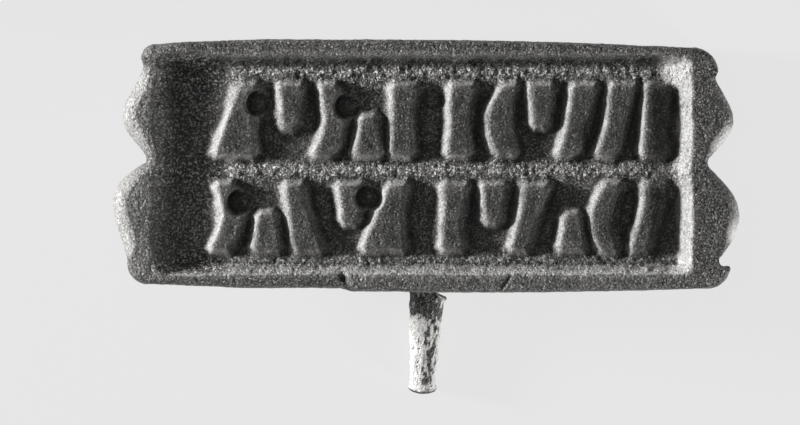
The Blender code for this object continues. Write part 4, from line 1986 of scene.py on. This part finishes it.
@dataclass(frozen=True)
class StampSeal:
    """The whole seal: plate and shank cast in one, as one closed surface."""

    where: PlateFrame
    name: str = "stamp_seal_casting"
    plate: Plate = field(default_factory=Plate)
    shank: Shank = field(default_factory=Shank)
    finish: PatinatedBronze = field(default_factory=PatinatedBronze)

    def build(self) -> bpy.types.Object:
        """Makes the piece, dresses it and puts it in the solid's place.

        No place of it goes below the table.

        Returns:
            The finished object.
        """
        surface = Surface()
        back = self.plate.build(surface)
        self.shank.build(surface, back, self.plate)
        points = self.where.to_row(np.concatenate(surface.points))
        points[:, 2] = np.maximum(points[:, 2], 0.0)
        piece = self._to_object(points, surface)
        piece.data.materials.append(self.finish.make())
        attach(piece, "root")
        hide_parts("stamp_seal")
        log.info("%s: %d points, %d faces", piece.name, len(piece.data.vertices), len(piece.data.polygons))
        return piece

    def _to_object(self, points: Array, surface: Surface) -> bpy.types.Object:
        """Puts the surface into a mesh, with its marks, and links the object to the scene.

        Args:
            points: its places in the row frame.
            surface: its faces and marks.

        Returns:
            The object.
        """
        mesh = bpy.data.meshes.new(self.name)
        sizes = np.concatenate([np.full(len(f), f.shape[1]) for f in surface.faces])
        corners = np.concatenate([f.ravel() for f in surface.faces])
        mesh.vertices.add(len(points))
        mesh.vertices.foreach_set("co", points.astype(np.float32).ravel())
        mesh.loops.add(len(corners))
        mesh.loops.foreach_set("vertex_index", corners.astype(np.int32))
        mesh.polygons.add(len(sizes))
        mesh.polygons.foreach_set("loop_start", (np.cumsum(sizes) - sizes).astype(np.int32))
        mesh.update(calc_edges=True)
        marks = np.concatenate(surface.marks)
        for column, mark in enumerate(Mark):
            values = mesh.attributes.new(mark.value, "FLOAT", "POINT")
            values.data.foreach_set("value", marks[:, column].astype(np.float32))
        mesh.polygons.foreach_set("use_smooth", np.ones(len(sizes), bool))
        mesh.validate()
        piece = bpy.data.objects.new(self.name, mesh)
        bpy.context.scene.collection.objects.link(piece)
        return piece


@dataclass(frozen=True)
class Lamp:
    """A square lamp: its direction from the face's middle in the plate's frame, and its metres and watts."""

    name: str
    direction: tuple[float, float, float]
    distance: float
    side: float
    power: float


@dataclass(frozen=True)
class Studio:
    """The pale table, the lights and the camera square on to the face.

    The picture's width is in pixels, and its middle is a place on the face. The table's side and the clip
    distances are in metres.
    """

    where: PlateFrame
    lamps: tuple[Lamp, ...] = (
        Lamp("key", (-0.949, 0.11, 0.276), 0.7, 0.11, 9.1),
        Lamp("fill", (-0.1, 0.0, 0.98), 0.8, 0.5, 1.05),
        Lamp("low_right", (0.8, -0.6, 0.0), 0.6, 0.12, 3.4),
    )
    table_side: float = 3.0
    table_glow: float = 0.74
    table_tone: float = 0.06
    table_roughness: float = 0.9
    table_gloss: float = 0.1
    world_tone: float = 0.012
    lens: float = 500.0
    sensor: float = 36.0
    clip_start: float = 0.05
    clip_end: float = 20.0
    picture_width: int = 800
    pixels_per_mm: float = 8.943
    picture_middle: tuple[float, float] = (-2.907, -5.255)

    def build(self) -> None:
        """Makes the table, the world's light, the lamps and the camera."""
        bpy.context.scene.view_settings.view_transform = "Standard"
        self._make_table()
        self._make_world()
        for lamp in self.lamps:
            self._make_lamp(lamp)
        self._make_camera()

    def _make_table(self) -> None:
        """A large pale sheet that glows a little, so that it stays even all over."""
        half = self.table_side / 2.0
        corners = [(-half, -half, 0), (half, -half, 0), (half, half, 0), (-half, half, 0)]
        mesh = bpy.data.meshes.new("table")
        mesh.from_pydata(corners, [], [(0, 1, 2, 3)])
        table = bpy.data.objects.new("table", mesh)
        bpy.context.scene.collection.objects.link(table)
        material = bpy.data.materials.new("pale_table")
        material.use_nodes = True
        shader = material.node_tree.nodes["Principled BSDF"]
        looks = {
            "Base Color": colour(*(self.table_tone,) * 3), "Roughness": self.table_roughness,
            "Specular IOR Level": self.table_gloss, "Emission Color": colour(1.0, 1.0, 1.0),
            "Emission Strength": self.table_glow,
        }
        for label, value in looks.items():
            shader.inputs[label].default_value = value
        mesh.materials.append(material)

    def _make_world(self) -> None:
        """A dim even room."""
        world = bpy.data.worlds.new("room")
        world.use_nodes = True
        world.node_tree.nodes["Background"].inputs["Color"].default_value = colour(*(self.world_tone,) * 3)
        bpy.context.scene.world = world

    def _make_lamp(self, lamp: Lamp) -> None:
        """Puts a lamp in its place and turns it to the face's middle.

        Args:
            lamp: which lamp.
        """
        data = bpy.data.lights.new(lamp.name, "AREA")
        data.shape = "SQUARE"
        data.size = lamp.side
        data.energy = lamp.power
        body = bpy.data.objects.new(lamp.name, data)
        unit = np.array(lamp.direction) / np.linalg.norm(lamp.direction)
        place = Vector(self.where.to_row(unit * lamp.distance / MILLIMETRE))
        aim = (place - Vector(self.where.middle)).to_track_quat("Z", "Y").to_matrix()
        body.matrix_world = Matrix.Translation(place) @ aim.to_4x4()
        bpy.context.scene.collection.objects.link(body)

    def _make_camera(self) -> None:
        """A long lens square on to the face, so that the plate fills the picture as in the photograph."""
        data = bpy.data.cameras.new("camera")
        data.lens = self.lens
        data.sensor_width = self.sensor
        data.clip_start = self.clip_start
        data.clip_end = self.clip_end
        distance = self.picture_width / self.pixels_per_mm * self.lens / self.sensor
        place = Vector(self.where.to_row(np.array((*self.picture_middle, distance))))
        camera = bpy.data.objects.new("camera", data)
        axes = np.column_stack((self.where.along, self.where.up, self.where.out))
        camera.matrix_world = Matrix.Translation(place) @ Matrix(axes.tolist()).to_4x4()
        bpy.context.scene.collection.objects.link(camera)
        bpy.context.scene.camera = camera


def main() -> None:
    """Builds the seal, then the studio."""
    logging.basicConfig(level=logging.INFO, format="%(name)s: %(message)s")
    where = PlateFrame.from_record(frame["record"])
    StampSeal(where).build()
    Studio(where).build()


if __name__ == "__main__":
    main()
